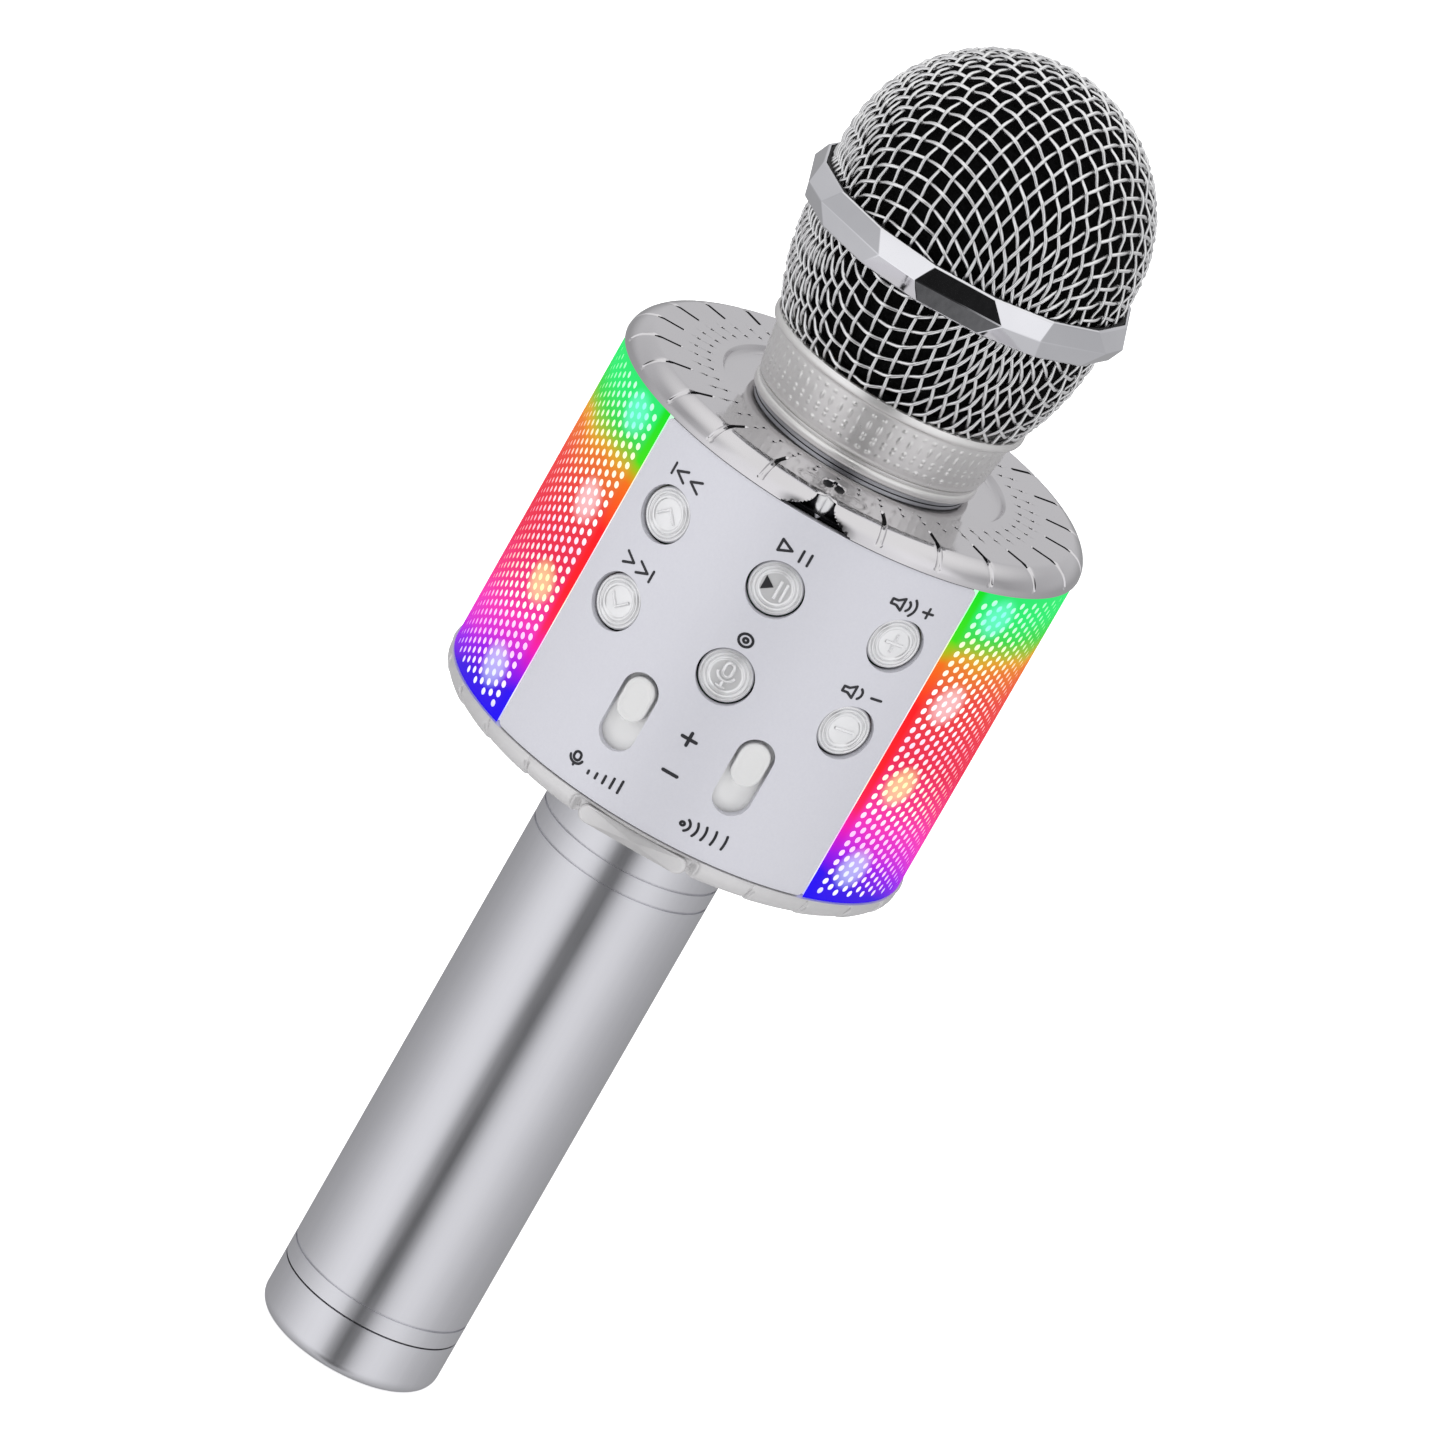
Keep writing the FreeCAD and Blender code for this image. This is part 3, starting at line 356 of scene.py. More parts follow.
def rounded_pad(outline, levels, lay):
    """A pad with a rounded edge. levels are (inset, out) from its foot to its crown; lay puts it in place.

    An inset of nearly half the pad's width closes the pad at its middle."""
    outline = numpy.asarray(outline, float)
    middle = (outline.max(0) + outline.min(0)) / 2
    half = (outline.max(0) - outline.min(0)).min() / 2
    rings = []
    for inset, out in levels:
        from_middle = outline - middle
        reach = numpy.linalg.norm(from_middle, axis=1, keepdims=True)
        if inset < half * 0.9:
            ring = middle + from_middle * (1 - inset / reach)
        else:
            ring = middle + from_middle * 0.002
        rings.append(numpy.column_stack([ring, numpy.full(len(ring), out)]))
    points = numpy.concatenate(rings)
    count = len(outline)
    faces = net_faces(len(levels), count, False, True).tolist()
    faces.append([(len(levels) - 1) * count + index for index in range(count)])
    faces.append(list(range(count))[::-1])
    return lay(points), faces


def stadium(width, length, steps=12):
    """An upright outline with half-round ends."""
    radius = width / 2
    reach = length / 2 - radius
    top = [(x, y + reach) for x, y in arc((0, 0), radius, 0, 180, steps)]
    bottom = [(x, y - reach) for x, y in arc((0, 0), radius, 180, 360, steps)]
    return numpy.array(top + bottom)


# ---- finishes ----


def satin_aluminium():
    finish = Finish("satin_aluminium", metallic=1.0, roughness=0.3)
    streak = finish.noise(900, 4, (1, 1, 0.02))
    cloud = finish.noise(60, 4)
    tone = finish.mixed(streak * 0.5 + cloud * 0.5, paint(212, 212, 216), paint(226, 226, 230))
    finish.feed(base_color=tone, roughness=0.24 + streak * 0.1 + cloud * 0.06)
    finish.bump(streak, 0.05, 0.0001)
    return finish


def chrome(name="chrome", low=(222, 222, 226), high=(238, 238, 241), rough=0.07):
    finish = Finish(name, metallic=1.0)
    cloud = finish.noise(90, 3)
    finish.feed(base_color=finish.mixed(cloud, paint(*low), paint(*high)), roughness=rough + cloud * 0.05)
    finish.bump(finish.noise(350, 2), 0.02, 0.0002)
    return finish


def plated_plastic():
    finish = Finish("plated_plastic", metallic=1.0)
    cloud = finish.noise(45, 3)
    tone = finish.mixed(cloud, paint(206, 204, 211), paint(218, 216, 222))
    finish.feed(base_color=tone, roughness=0.1 + cloud * 0.05)
    finish.bump(finish.noise(220, 3), 0.03, 0.0003)
    return finish


def slotted_plate():
    """The top cover's plating, with painted shade inside the slots, the dots, the eye and the notch."""
    finish = Finish("slotted_plate", metallic=1.0)
    cloud = finish.noise(45, 3)
    tone = finish.mixed(cloud, paint(210, 208, 210), paint(220, 218, 220))
    across = finish.along("X")
    ahead = finish.along("Y") * -1.0
    height = finish.along("Z")
    radius = (across * across + ahead * ahead) ** 0.5
    turn = finish.heading(across, ahead)
    flat = height > TOP_FACE - 0.8

    # painted shade: the slots, the dots, the eye and the notch are recesses, and this mask paints their shade
    slot_side = turn.folded(SLOT_STEP / 2) * radius * (math.pi / 180)
    dark = (slot_side.size() < 0.4) * (radius > 32.9) * (radius < 37.5) * (turn.size() > 4.0)
    dot_side = turn.folded(DOT_STEP / 2) * radius * (math.pi / 180)
    for ring in DOT_RINGS:
        from_ring = radius - ring
        dark = dark + (dot_side * dot_side + from_ring * from_ring < (DOT + 0.01) ** 2)

    eye_side = across / EYE_WIDE
    eye_depth = (radius - EYE_RADIUS) / EYE_DEEP
    eye = (eye_side * eye_side + eye_depth * eye_depth < 1.0) * (ahead > 0.0) * (across.size() > 0.3)
    fall = (BARREL_HEAD + NOTCH_RISE - height) / NOTCH_RISE
    opening = fall * fall * (fall > 0.0) * (NOTCH_FOOT - NOTCH_HEAD) + NOTCH_HEAD
    notch = (across.size() < opening) * (ahead > 37.6) * (height < TOP_FACE - 0.5)

    dark = (dark * flat).or_more(notch.or_more(eye * flat))
    # the recesses' painted shade, in near black
    colour = finish.mixed(dark, tone, paint(30, 30, 33))
    finish.feed(base_color=colour, roughness=0.08 + cloud * 0.04 + dark * 0.35)
    finish.bump(finish.noise(220, 3), 0.03, 0.0003)
    return finish


def pearl_panel():
    finish = Finish("panel_silver", metallic=0.25)
    fleck = finish.noise(2600, 2)
    cloud = finish.noise(35, 3)
    tone = finish.mixed(fleck * 0.6 + cloud * 0.4, paint(180, 180, 187), paint(191, 191, 197))
    finish.feed(base_color=tone, roughness=0.4 + cloud * 0.08)
    finish.bump(fleck, 0.03, 0.0001)
    return finish


# The light's colours by height, from the barrel's foot to its head.
SHEET_SHADES = (
    (115, 30, 10, 240),  # blue
    (120, 60, 20, 220),  # indigo
    (124, 150, 20, 230),  # violet
    (127, 210, 40, 210),  # magenta
    (131, 240, 50, 180),  # pink
    (136, 240, 50, 130),  # rose
    (142, 230, 40, 80),  # crimson
    (148, 230, 50, 70),  # red
    (154, 230, 70, 60),  # brick
    (159, 230, 120, 40),  # orange
    (161, 220, 160, 40),  # amber
    (163, 140, 190, 50),  # lime
    (165, 60, 210, 70),  # leaf green
    (169, 40, 230, 110),  # green
)
HOLE_SHADES = (
    (116, 190, 190, 255),  # pale blue
    (119, 240, 240, 255),  # bluish white
    (127, 255, 190, 250),  # orchid
    (131, 255, 210, 250),  # pale orchid
    (134, 255, 250, 240),  # warm white
    (138, 255, 240, 220),  # ivory
    (145, 250, 210, 230),  # pale rose
    (152, 255, 250, 250),  # white
    (160, 255, 240, 210),  # cream
    (163, 240, 255, 200),  # pale lime
    (168, 190, 255, 210),  # mint
)
MARGIN_SHADES = (
    (114.0, 26, 6, 240),
    (120.0, 44, 6, 236),
    (123.6, 150, 10, 226),
    (128.4, 238, 20, 170),
    (132.6, 244, 30, 90),
    (139.2, 250, 24, 40),
    (151.2, 250, 24, 30),
    (159.6, 240, 110, 20),
    (163.8, 60, 220, 20),
    (174.0, 0, 222, 30),
)
GLOW_FOOT = 114.0
GLOW_HEIGHT = 60.0
LAMPS = (
    (169.0, (120, 255, 225)),
    (152.6, (255, 235, 240)),
    (137.1, (255, 246, 170)),
    (121.5, (215, 225, 255)),
)
LAMP_TURN = 53.5
LAMP_HALF_HEIGHT = 3.2
LAMP_HALF_TURN = 4.6


def by_height(shades):
    """A ramp's stops from shades of (height, red, green, blue)."""
    return [((height - GLOW_FOOT) / GLOW_HEIGHT, paint(*tone)) for height, *tone in shades]


def glow(name, shades, is_sheet, strength):
    """Light of changing colour from foot to head of the barrel, with four brighter spots over the lamps.

    The colours rise towards the barrel's sides, and most so at its foot. The sheet is purer in colour near
    its front edge, and the film behind it takes some of the sheet's colour round the barrel's side."""
    finish = Finish(name, emission_strength=strength, roughness=0.5, specular_ior_level=0.06)
    height = finish.along("Z")
    ripple = finish.noise(150, 2) * 3.0 - 1.5
    across = finish.along("X").size()
    ahead = finish.along("Y") * -1.0
    turn = finish.heading(across, ahead)
    slope = 0.33 * (1.0 - height.between(112.0, 171.0))
    lean = (BARREL * math.cos(math.pi / 4) - ahead.size()) * slope
    share = (height + lean + ripple - GLOW_FOOT) / GLOW_HEIGHT
    light = finish.ramp(share, by_height(shades))
    if is_sheet:
        front_edge = 90 - GRILLE_EDGE
        margin = 1.0 - turn.between(front_edge + 1.3, front_edge + 3.7)
        light = finish.mixed(margin, light, finish.ramp(share, by_height(MARGIN_SHADES)))
        spot_share = 0.55
    else:
        deeper = finish.ramp(share, by_height(SHEET_SHADES))
        light = finish.mixed(turn.between(60.0, 80.0) * 0.5, light, deeper)
        spot_share = 0.85
    for lamp_height, tone in LAMPS:
        rise = (height - lamp_height) / LAMP_HALF_HEIGHT
        sweep = (turn - LAMP_TURN) / LAMP_HALF_TURN
        away = rise * rise + sweep * sweep
        spotlight = (1.0 - away.between(0.0, 1.9)) * spot_share
        light = finish.mixed(spotlight, light, paint(*tone))
    finish.feed(emission_color=light, base_color=finish.mixed(0.93, light, paint(4, 4, 4)))
    return finish


def plain_finish(name, low, high, rough=0.35, grain=900, depth=0.04, metallic=0.0):
    """A finish of one colour with a fine grain, for moulded, painted and plated parts."""
    finish = Finish(name, metallic=metallic)
    grain_noise = finish.noise(grain, 3)
    cloud = finish.noise(60, 2)
    tone = finish.mixed(cloud * 0.6 + grain_noise * 0.4, paint(*low), paint(*high))
    finish.feed(base_color=tone, roughness=rough + grain_noise * 0.12)
    finish.bump(grain_noise, depth, 0.0002)
    return finish


def white_knob():
    """White plastic, with painted light on the skirt inside the panel: it is a little paler than the cap, to
    lighten the shade it lies in.
    """
    finish = Finish("knob_white", roughness=0.36)
    across, ahead = finish.along("X"), finish.along("Y")
    radius = (across * across + ahead * ahead) ** 0.5
    cloud = finish.noise(60, 2)
    cap = finish.mixed(cloud, paint(180, 180, 180), paint(190, 190, 190))
    # painted light: the skirt, in shade inside the panel, is painted paler than the cap
    finish.feed(base_color=finish.mixed(radius.between(38.9, 39.4), paint(206, 206, 206), cap))
    return finish


def foam():
    finish = Finish("foam_black", roughness=0.95, specular_ior_level=0.1)
    pores = finish.node("ShaderNodeTexVoronoi", None, {"Vector": finish.place, "Scale": 1400.0}, "Distance")
    tone = finish.mixed(pores, paint(1, 1, 1), paint(10, 10, 11))
    finish.feed(base_color=tone)
    finish.bump(pores, 0.6, 0.0006)
    return finish


def mesh_wire():
    finish = Finish("mesh_wire", metallic=1.0)
    cloud = finish.noise(500, 2)
    tone = finish.mixed(cloud, paint(232, 232, 232), paint(250, 250, 250))
    finish.feed(base_color=tone, roughness=0.26 + cloud * 0.1)
    return finish


# ---- head ----


def on_dome(point):
    """The nearest point of the dome's middle surface and its normal."""
    if point[2] > DOME_CENTRE:
        away = point - numpy.array([0, 0, DOME_CENTRE])
        away /= numpy.linalg.norm(away)
        return numpy.array([0, 0, DOME_CENTRE]) + DOME * away, away
    away = numpy.array([point[0], point[1], 0.0])
    away /= numpy.linalg.norm(away)
    return DOME * away + numpy.array([0, 0, point[2]]), away


def on_bowl(point):
    """The same for the lower bowl, an egg shape standing on the collar."""
    wide, tall, centre = 25.6, 34.4, 209.0
    scale = numpy.array([wide, wide, tall])
    for _ in range(3):
        local = point - numpy.array([0, 0, centre])
        slope = 2 * local / scale**2
        excess = (local**2 / scale**2).sum() - 1
        point = point - slope * excess / (slope**2).sum()
    local = point - numpy.array([0, 0, centre])
    normal = local / scale**2
    return point, normal / numpy.linalg.norm(normal)


def next_crossing(one, other, before, surface):
    """Where two wires cross next: one pitch from both of the last crossings."""
    guess, normal = surface(one + other - before)
    for _ in range(6):
        gaps = []
        rates = []
        for anchor in (one, other):
            away = guess - anchor
            length = numpy.linalg.norm(away)
            gaps.append(length - WIRE_PITCH)
            rates.append(away / length)
        sideways = numpy.cross(normal, rates[0])
        sideways /= numpy.linalg.norm(sideways) + 1e-12
        forward = numpy.cross(sideways, normal)
        table = numpy.array([[rate @ forward, rate @ sideways] for rate in rates])
        if abs(numpy.linalg.det(table)) < 0.05:
            return None
        move = numpy.linalg.solve(table, gaps)
        guess, normal = surface(guess - forward * move[0] - sideways * move[1])
    return guess


def draped_net(surface, pole, low, high, net_turn):
    """Crossings of a woven net that hangs evenly from its pole, keyed by (row, column)."""
    net = {(0, 0): surface(numpy.array([0.001, 0.0, pole]))[0]}
    reach = 26
    for step in ((1, 0), (0, 1), (-1, 0), (0, -1)):
        turn = math.radians(net_turn) + math.atan2(step[1], step[0])
        heading = numpy.array([math.cos(turn), math.sin(turn), 0.0])
        last = net[(0, 0)]
        down = heading
        for count in range(1, reach):
            here, normal = surface(last + down * WIRE_PITCH)
            for _ in range(4):
                gap = here - last
                here, normal = surface(last + gap * WIRE_PITCH / numpy.linalg.norm(gap))
            down = here - last
            down /= numpy.linalg.norm(down)
            last = here
            if not low < here[2] < high:
                break
            net[(step[0] * count, step[1] * count)] = here
    for row_step in (1, -1):
        for column_step in (1, -1):
            for row in range(1, reach):
                for column in range(1, reach):
                    known = [
                        net.get((row * row_step, (column - 1) * column_step)),
                        net.get(((row - 1) * row_step, column * column_step)),
                        net.get(((row - 1) * row_step, (column - 1) * column_step)),
                    ]
                    if any(point is None for point in known):
                        continue
                    made = next_crossing(*known, surface)
                    if made is not None and low < made[2] < high:
                        net[(row * row_step, column * column_step)] = made
    chance = numpy.random.default_rng(7)
    return {key: surface(place + chance.normal(0, 0.05, 3))[0] for key, place in net.items()}


def woven_wires(net, surface, low, high):
    """Wires over and under each other through the crossings of a net, cut off at the rims."""
    stock = Stock()
    samples = 4
    for family in (0, 1):
        lines = sorted({key[family] for key in net})
        for line in lines:
            keys = sorted((key for key in net if key[family] == line), key=lambda key: key[1 - family])
            runs = [[keys[0]]]
            for key in keys[1:]:
                if key[1 - family] == runs[-1][-1][1 - family] + 1:
                    runs[-1].append(key)
                else:
                    runs.append([key])
            for run in runs:
                if len(run) > 1:
                    for path in crimped(net, run, family, samples, surface, low, high):
                        stock.add(*tube(path, WIRE, 6))
    return stock


def crimped(net, run, family, samples, surface, low, high):
    nodes = numpy.array([net[key] for key in run])
    nodes = numpy.vstack([2 * nodes[0] - nodes[1], nodes, 2 * nodes[-1] - nodes[-2]])
    path = []
    for index in range(1, len(nodes) - 2):
        before, start, end, after = nodes[index - 1 : index + 3]
        side = (-1) ** (sum(run[index - 1]) + family)
        for step in range(samples):
            t = step / samples
            point = 0.5 * (
                2 * start
                + (end - before) * t
                + (2 * before - 5 * start + 4 * end - after) * t**2
                + (3 * start - before - 3 * end + after) * t**3
            )
            flat, normal = surface(point)
            path.append(flat + normal * WIRE * side * math.cos(math.pi * t))
    flat, normal = surface(nodes[-2])
    path.append(flat + normal * WIRE * (-1) ** (sum(run[-1]) + family))
    kept = []
    for point in path:
        if low <= point[2] <= high:
            kept.append(point)
        elif kept:
            if len(kept) > 2:
                yield kept
            kept = []
    if len(kept) > 2:
        yield kept


def make_upper_mesh(finish):
    net = draped_net(on_dome, DOME_CENTRE + DOME, 208.0, 300.0, -25.0)
    woven_wires(net, on_dome, 212.6, 300.0).piece(
        "upper_wire_mesh", finish, "mesh_wire", "head", ["upper_grille"], 80
    )


def make_lower_mesh(finish):
    net = draped_net(on_bowl, 174.6, 170.0, 214.5, -17.0)
    woven_wires(net, on_bowl, 189.2, 210.6).piece(
        "lower_wire_mesh", finish, "mesh_wire", "head", ["lower_grille"], 80
    )


def make_foam(finish):
    crown = 24.6
    outer = [(0.01, DOME_CENTRE + crown)]
    for turn in numpy.radians(range(5, 95, 5)):
        outer.append((crown * math.sin(turn), DOME_CENTRE + crown * math.cos(turn)))
    outer += [(crown, 212.0), (24.5, 208.2), (24.2, 203.0), (23.6, 199.0)]
    outer += [(22.6, 195.0), (21.0, 191.6), (20.2, 191.8)]
    inner = [(11.2, 191.8), (11.2, 205.8), (0.01, 205.9)]
    profile = (outer + inner)[::-1]
    angles = numpy.linspace(-180, 180, 96, endpoint=False)

    def lumps(radius, height, angle):
        return 0.12 * numpy.sin(angle * 0.21 + height) * numpy.sin(height * 0.9) * (radius > 12)

    made = Stock().add(*spun(profile, angles, lumps)).piece(
        "foam_ball", finish, "foam_black", "head", ["foam_windscreen"], 60
    )


def make_ring(finish):
    """Eight wide flats that narrow towards both edges, and eight narrow ones between them."""
    ridge = []
    edge = []
    for flat in range(8):
        ridge += [45 * flat - 10, 45 * flat + 21]
        edge += [45 * flat - 6.8, 45 * flat + 15.5]
    rows = []
    for angles, radius, rise in (
        (edge, 26.5, -3.3),
        (edge, 27.3, -3.4),
        (edge, 27.7, -3.1),
        (ridge, 29.1, 0.0),
        (edge, 27.7, 3.1),
        (edge, 27.35, 3.35),
        (edge, 27.15, 3.2),
        (edge, 27.0, 1.4),
        (edge, 26.5, -2.0),
    ):
        rows.append([spot(angle, radius, RING_RIDGE + rise) for angle in angles])
    points = numpy.array(rows).reshape(-1, 3)
    made = Stock().add(points, net_faces(len(rows), 16, True, True).tolist()).piece(
        "faceted_ring", finish, "chrome", "head", ["grille_ring"], 5
    )
    rounding = made.modifiers.new("rounded_edges", "BEVEL")
    rounding.width = 0.00016
    rounding.segments = 2
    rounding.limit_method = "ANGLE"
    rounding.angle_limit = math.radians(4)


def make_painted_gap_shade(finish):
    """A black strip between the ring and the upper mesh, put there as painted shade in the gap between them.
    """
    section = [(25.6, 1.1), (27.1, 1.1), (27.15, 2.7), (26.9, 3.15), (26.55, 3.25), (26.2, 3.1), (25.6, 2.0)]
    profile = [(radius, RING_RIDGE + rise) for radius, rise in section]
    angles = numpy.linspace(-180, 180, 160, endpoint=False)
    # painted shade: a black strip in the shaded gap inside the ring
    Stock().add(*spun(profile, angles)).piece("ring_gap_shade", finish, "black_rubber", "head")


def bump_at(across, up, wide, tall):
    """A raised mark: 1 at its middle, 0 outside its outline."""
    away = (across / wide) ** 2 + (up / tall) ** 2
    return numpy.clip(1 - away, 0, 1) ** 0.6


def make_collar(finish):
    side = [(20.02 + (z - 180.0) * 0.13, z) for z in numpy.arange(180.0, 187.9, 0.14)]
    lip = [(15.4, 176.98), (19.0, 176.95), (19.5, 176.98), (19.8, 177.2), (19.88, 177.6), (19.86, 178.1)]
    groove = [(19.7, 178.4), (19.42, 178.5), (19.38, 178.6), (19.62, 178.72), (19.66, 178.9), (19.62, 179.08)]
    groove += [(19.4, 179.18), (19.4, 179.28), (19.8, 179.42), (19.92, 179.7)]
    head = [(21.15, 188.1), (21.7, 188.25), (22.15, 188.45), (22.3, 188.8), (22.33, 189.4), (22.2, 189.85)]
    head += [(21.9, 189.98), (21.6, 189.9), (21.5, 189.5), (21.5, 188.7)]
    inside = [(20.0, 188.7), (19.9, 189.4), (19.6, 189.4), (19.5, 187.9), (15.4, 186.6)]
    profile = lip + groove + side + head + inside
    mark_rows = [(186.9, 0.3, 0.32), (185.1, 0.24, 0.85), (183.35, 0.34, 0.36)]
    mark_rows += [(182.55, 0.34, 0.36), (181.0, 0.42, 0.34)]

    def marks(radius, height, angle):
        """Columns of raised marks every five degrees, a little uneven from column to column."""
        across = numpy.radians((angle + 2.5) % 5.0 - 2.5) * radius
        raised = 0.0
        for middle, wide, tall in mark_rows:
            raised = raised + bump_at(across, height - middle, wide, tall)
        uneven = 0.8 + 0.35 * numpy.sin(numpy.round(angle / 5.0) * 2.3)
        return -0.14 * raised * uneven

    angles = numpy.linspace(-180, 180, 720, endpoint=False)
    Stock().add(*spun(profile, angles, marks)).piece(
        "knurled_collar", finish, "satin_aluminium", "head", ["head_collar"], 50
    )


# ---- covers ----


def cover_angles():
    """Angles close together at each slot and dot, and evenly close at the front."""
    near_mark = [0.2, 0.4, 0.6, 0.8, 1.1, 1.9, 3.0]
    angles = set()
    for mark in range(int(360 / DOT_STEP)):
        middle = mark * DOT_STEP - 180
        angles.add(round(middle, 3))
        angles.add(round(middle + DOT_STEP / 2, 3))
        for step in near_mark:
            angles.add(round(middle + step, 3))
            angles.add(round(middle - step if middle > -180 else middle - step + 360, 3))
    fine = {round(angle, 3) for angle in numpy.arange(-10.0, 10.01, 0.33)}
    kept = {angle for angle in angles if abs(angle) > 10.2}
    return sorted(kept | fine)


def slot_press(radius, height, angle, flat_height, sign):
    """Radial slots on the flat face that run out over the rounded rim."""
    turn = (angle + SLOT_STEP / 2) % SLOT_STEP - SLOT_STEP / 2
    across = numpy.abs(numpy.radians(turn) * radius)
    on_flat = numpy.clip((radius - 32.6) / 0.5, 0, 1) * (radius < 38.2)
    narrow = numpy.clip(1 - (across / 0.34) ** 4, 0, 1) * 0.5 * on_flat
    drop = (flat_height - height) * sign
    on_rim = numpy.clip((radius - 36.8) / 0.6, 0, 1) * numpy.clip((2.9 - drop) / 0.5, 0, 1)
    wide = numpy.clip(1 - (across / 0.55) ** 4, 0, 1) * 0.32 * on_rim
    return numpy.maximum(narrow, wide)


def front_press(side, radius, height, on_top):
    """The notch's own depth, and the depth of the eye above it."""
    opening = numpy.clip((BARREL_HEAD + NOTCH_RISE - height) / NOTCH_RISE, 0, 1) ** 2
    half = NOTCH_HEAD + (NOTCH_FOOT - NOTCH_HEAD) * opening
    outside = (radius > 38.6) & (height > BARREL_HEAD - 0.1)
    in_notch = numpy.clip((half - numpy.abs(side)) / 0.3, 0, 1) * outside
    eye = (side / EYE_WIDE) ** 2 + ((radius - EYE_RADIUS) / EYE_DEEP) ** 2
    depth = in_notch * numpy.clip(radius - 39.35, 0.35, 1.6)
    return depth + 0.55 * numpy.clip(1.2 - eye, 0, 1) ** 0.5 * on_top


def make_top_cover(finish):
    across_dot = [-0.33, -0.22, -0.11, 0.0, 0.11, 0.22, 0.33]
    flat = [25.4, 25.5, 25.8, 26.6, 27.3]
    flat += [DOT_RINGS[0] + step for step in across_dot] + [28.7, 29.4]
    flat += [DOT_RINGS[1] + step for step in across_dot] + [31.2, 32.2, 32.6, 32.8, 33.1, 33.9, 34.4, 34.9]
    flat += [35.4, 35.9, 36.4, 36.9, 37.3]
    dish = [(14.9, 0.0), (17.0, 0.0), (20.0, 0.0), (23.0, 0.0)]
    dish += [(24.4, 0.02), (24.75, 0.15), (25.05, 0.6), (25.25, 1.05)]
    rim = [(37.6, 0.03), (37.9, 0.1), (38.4, 0.3), (38.9, 0.55), (39.4, 0.88), (39.85, 1.3), (40.2, 1.7)]
    rim += [(40.4, 2.0), (40.6, 2.35), (40.72, 2.65), (40.8, 2.9), (40.85, 3.2), (40.88, 3.45), (COVER, 3.6)]
    rim += [(40.86, 3.85), (40.5, 3.9), (38.9, 3.9), (38.9, 3.1), (15.0, 3.1)]
    profile = [(radius, DISH_FLOOR + rise) for radius, rise in dish]
    profile += [(radius, TOP_FACE) for radius in flat]
    profile += [(radius, TOP_FACE - drop) for radius, drop in rim]
    profile = profile[::-1]

    def press(radius, height, angle):
        depth = slot_press(radius, height, angle, TOP_FACE, 1) * (numpy.abs(angle) > 4)
        on_top = (height > TOP_FACE - 0.2) & (radius > 25.3)
        turn = (angle + DOT_STEP / 2) % DOT_STEP - DOT_STEP / 2
        for ring in DOT_RINGS:
            away = (numpy.radians(turn) * radius / DOT) ** 2 + ((radius - ring) / DOT) ** 2
            depth = depth + 0.42 * numpy.clip(1 - away, 0, 1) ** 0.5 * on_top
        side = numpy.radians(angle) * radius
        depth = depth + front_press(side, radius, height, on_top)
        stem = numpy.exp(-((side / 0.3) ** 2)) * (radius > 31.6) * (radius < 39.3) * (numpy.abs(side) < 1)
        depth = depth * (1 - stem) - 0.3 * stem
        for lobe in (-1, 1):
            swirl = ((side - lobe * 3.3) / 2.2) ** 2 + ((radius - 34.9) / 2.0) ** 2
            depth = depth + 0.18 * numpy.exp(-((swirl - 1) * 2.2) ** 2) * on_top
        return depth

    Stock().add(*spun(profile, cover_angles(), press)).piece(
        "top_plate", finish, "plated_plastic", "barrel", ["top_cover"], 38
    )


def make_bottom_cover(finish):
    flat = [16.0, 20.0, 25.0, 30.0, 32.5, 32.9, 33.5, 35.0, 36.5, 37.3]
    rim = [(38.0, 0.02), (38.6, 0.1), (39.2, 0.32), (39.8, 0.7), (40.3, 1.2), (40.65, 1.8), (40.83, 2.3)]
    rim += [(COVER, 2.75), (COVER, 3.1), (COVER, 3.5), (40.86, 3.8), (40.5, 3.9), (38.9, 3.9)]
    rim += [(38.9, 2.1), (16.1, 2.0)]
    profile = [(radius, BOTTOM_FACE) for radius in flat]
    profile += [(radius, BOTTOM_FACE + rise) for radius, rise in rim]
    bay_half, bay_depth, bay_head = 11.4, 0.9, BOTTOM_FACE + 3.6

    def press(radius, height, angle):
        """Slots, a shallow bay at the front for the lip, and slight steps between the slots."""
        depth = slot_press(radius, height, angle, BOTTOM_FACE, -1) * (numpy.abs(angle) > 12)
        across = numpy.abs(numpy.radians(angle) * COVER)
        outside = (radius > 38.6) & (height < bay_head)
        below = numpy.clip((bay_head - height) / 0.4, 0, 1) * outside
        bay = numpy.clip((bay_half - across) / 0.8, 0, 1) * below
        steps = 0.22 * (numpy.abs(angle) % SLOT_STEP / SLOT_STEP) * (radius > 37.5) * (height < bay_head)
        return depth + bay * bay_depth + steps * (1 - bay)

    Stock().add(*spun(profile, cover_angles(), press)).piece(
        "bottom_plate", finish, "plated_plastic", "barrel", ["bottom_cover"], 38
    )


def make_bottom_lip(finish):
    outline = numpy.array([(y, -x) for x, y in stadium(2.9, 19.6, 10)])
    outline[:, 1] += BOTTOM_FACE + 1.7

    def lay(points):
        return bent(points, 0)

    levels = [(0.0, 39.3), (0.0, 40.35), (0.12, 40.7), (0.45, 40.88), (1.0, 40.93), (1.5, 40.93)]
    Stock().add(*rounded_pad(outline, levels, lay)).piece(
        "front_lip", finish, "plated_plastic", "barrel", ["bottom_lip"], 50
    )


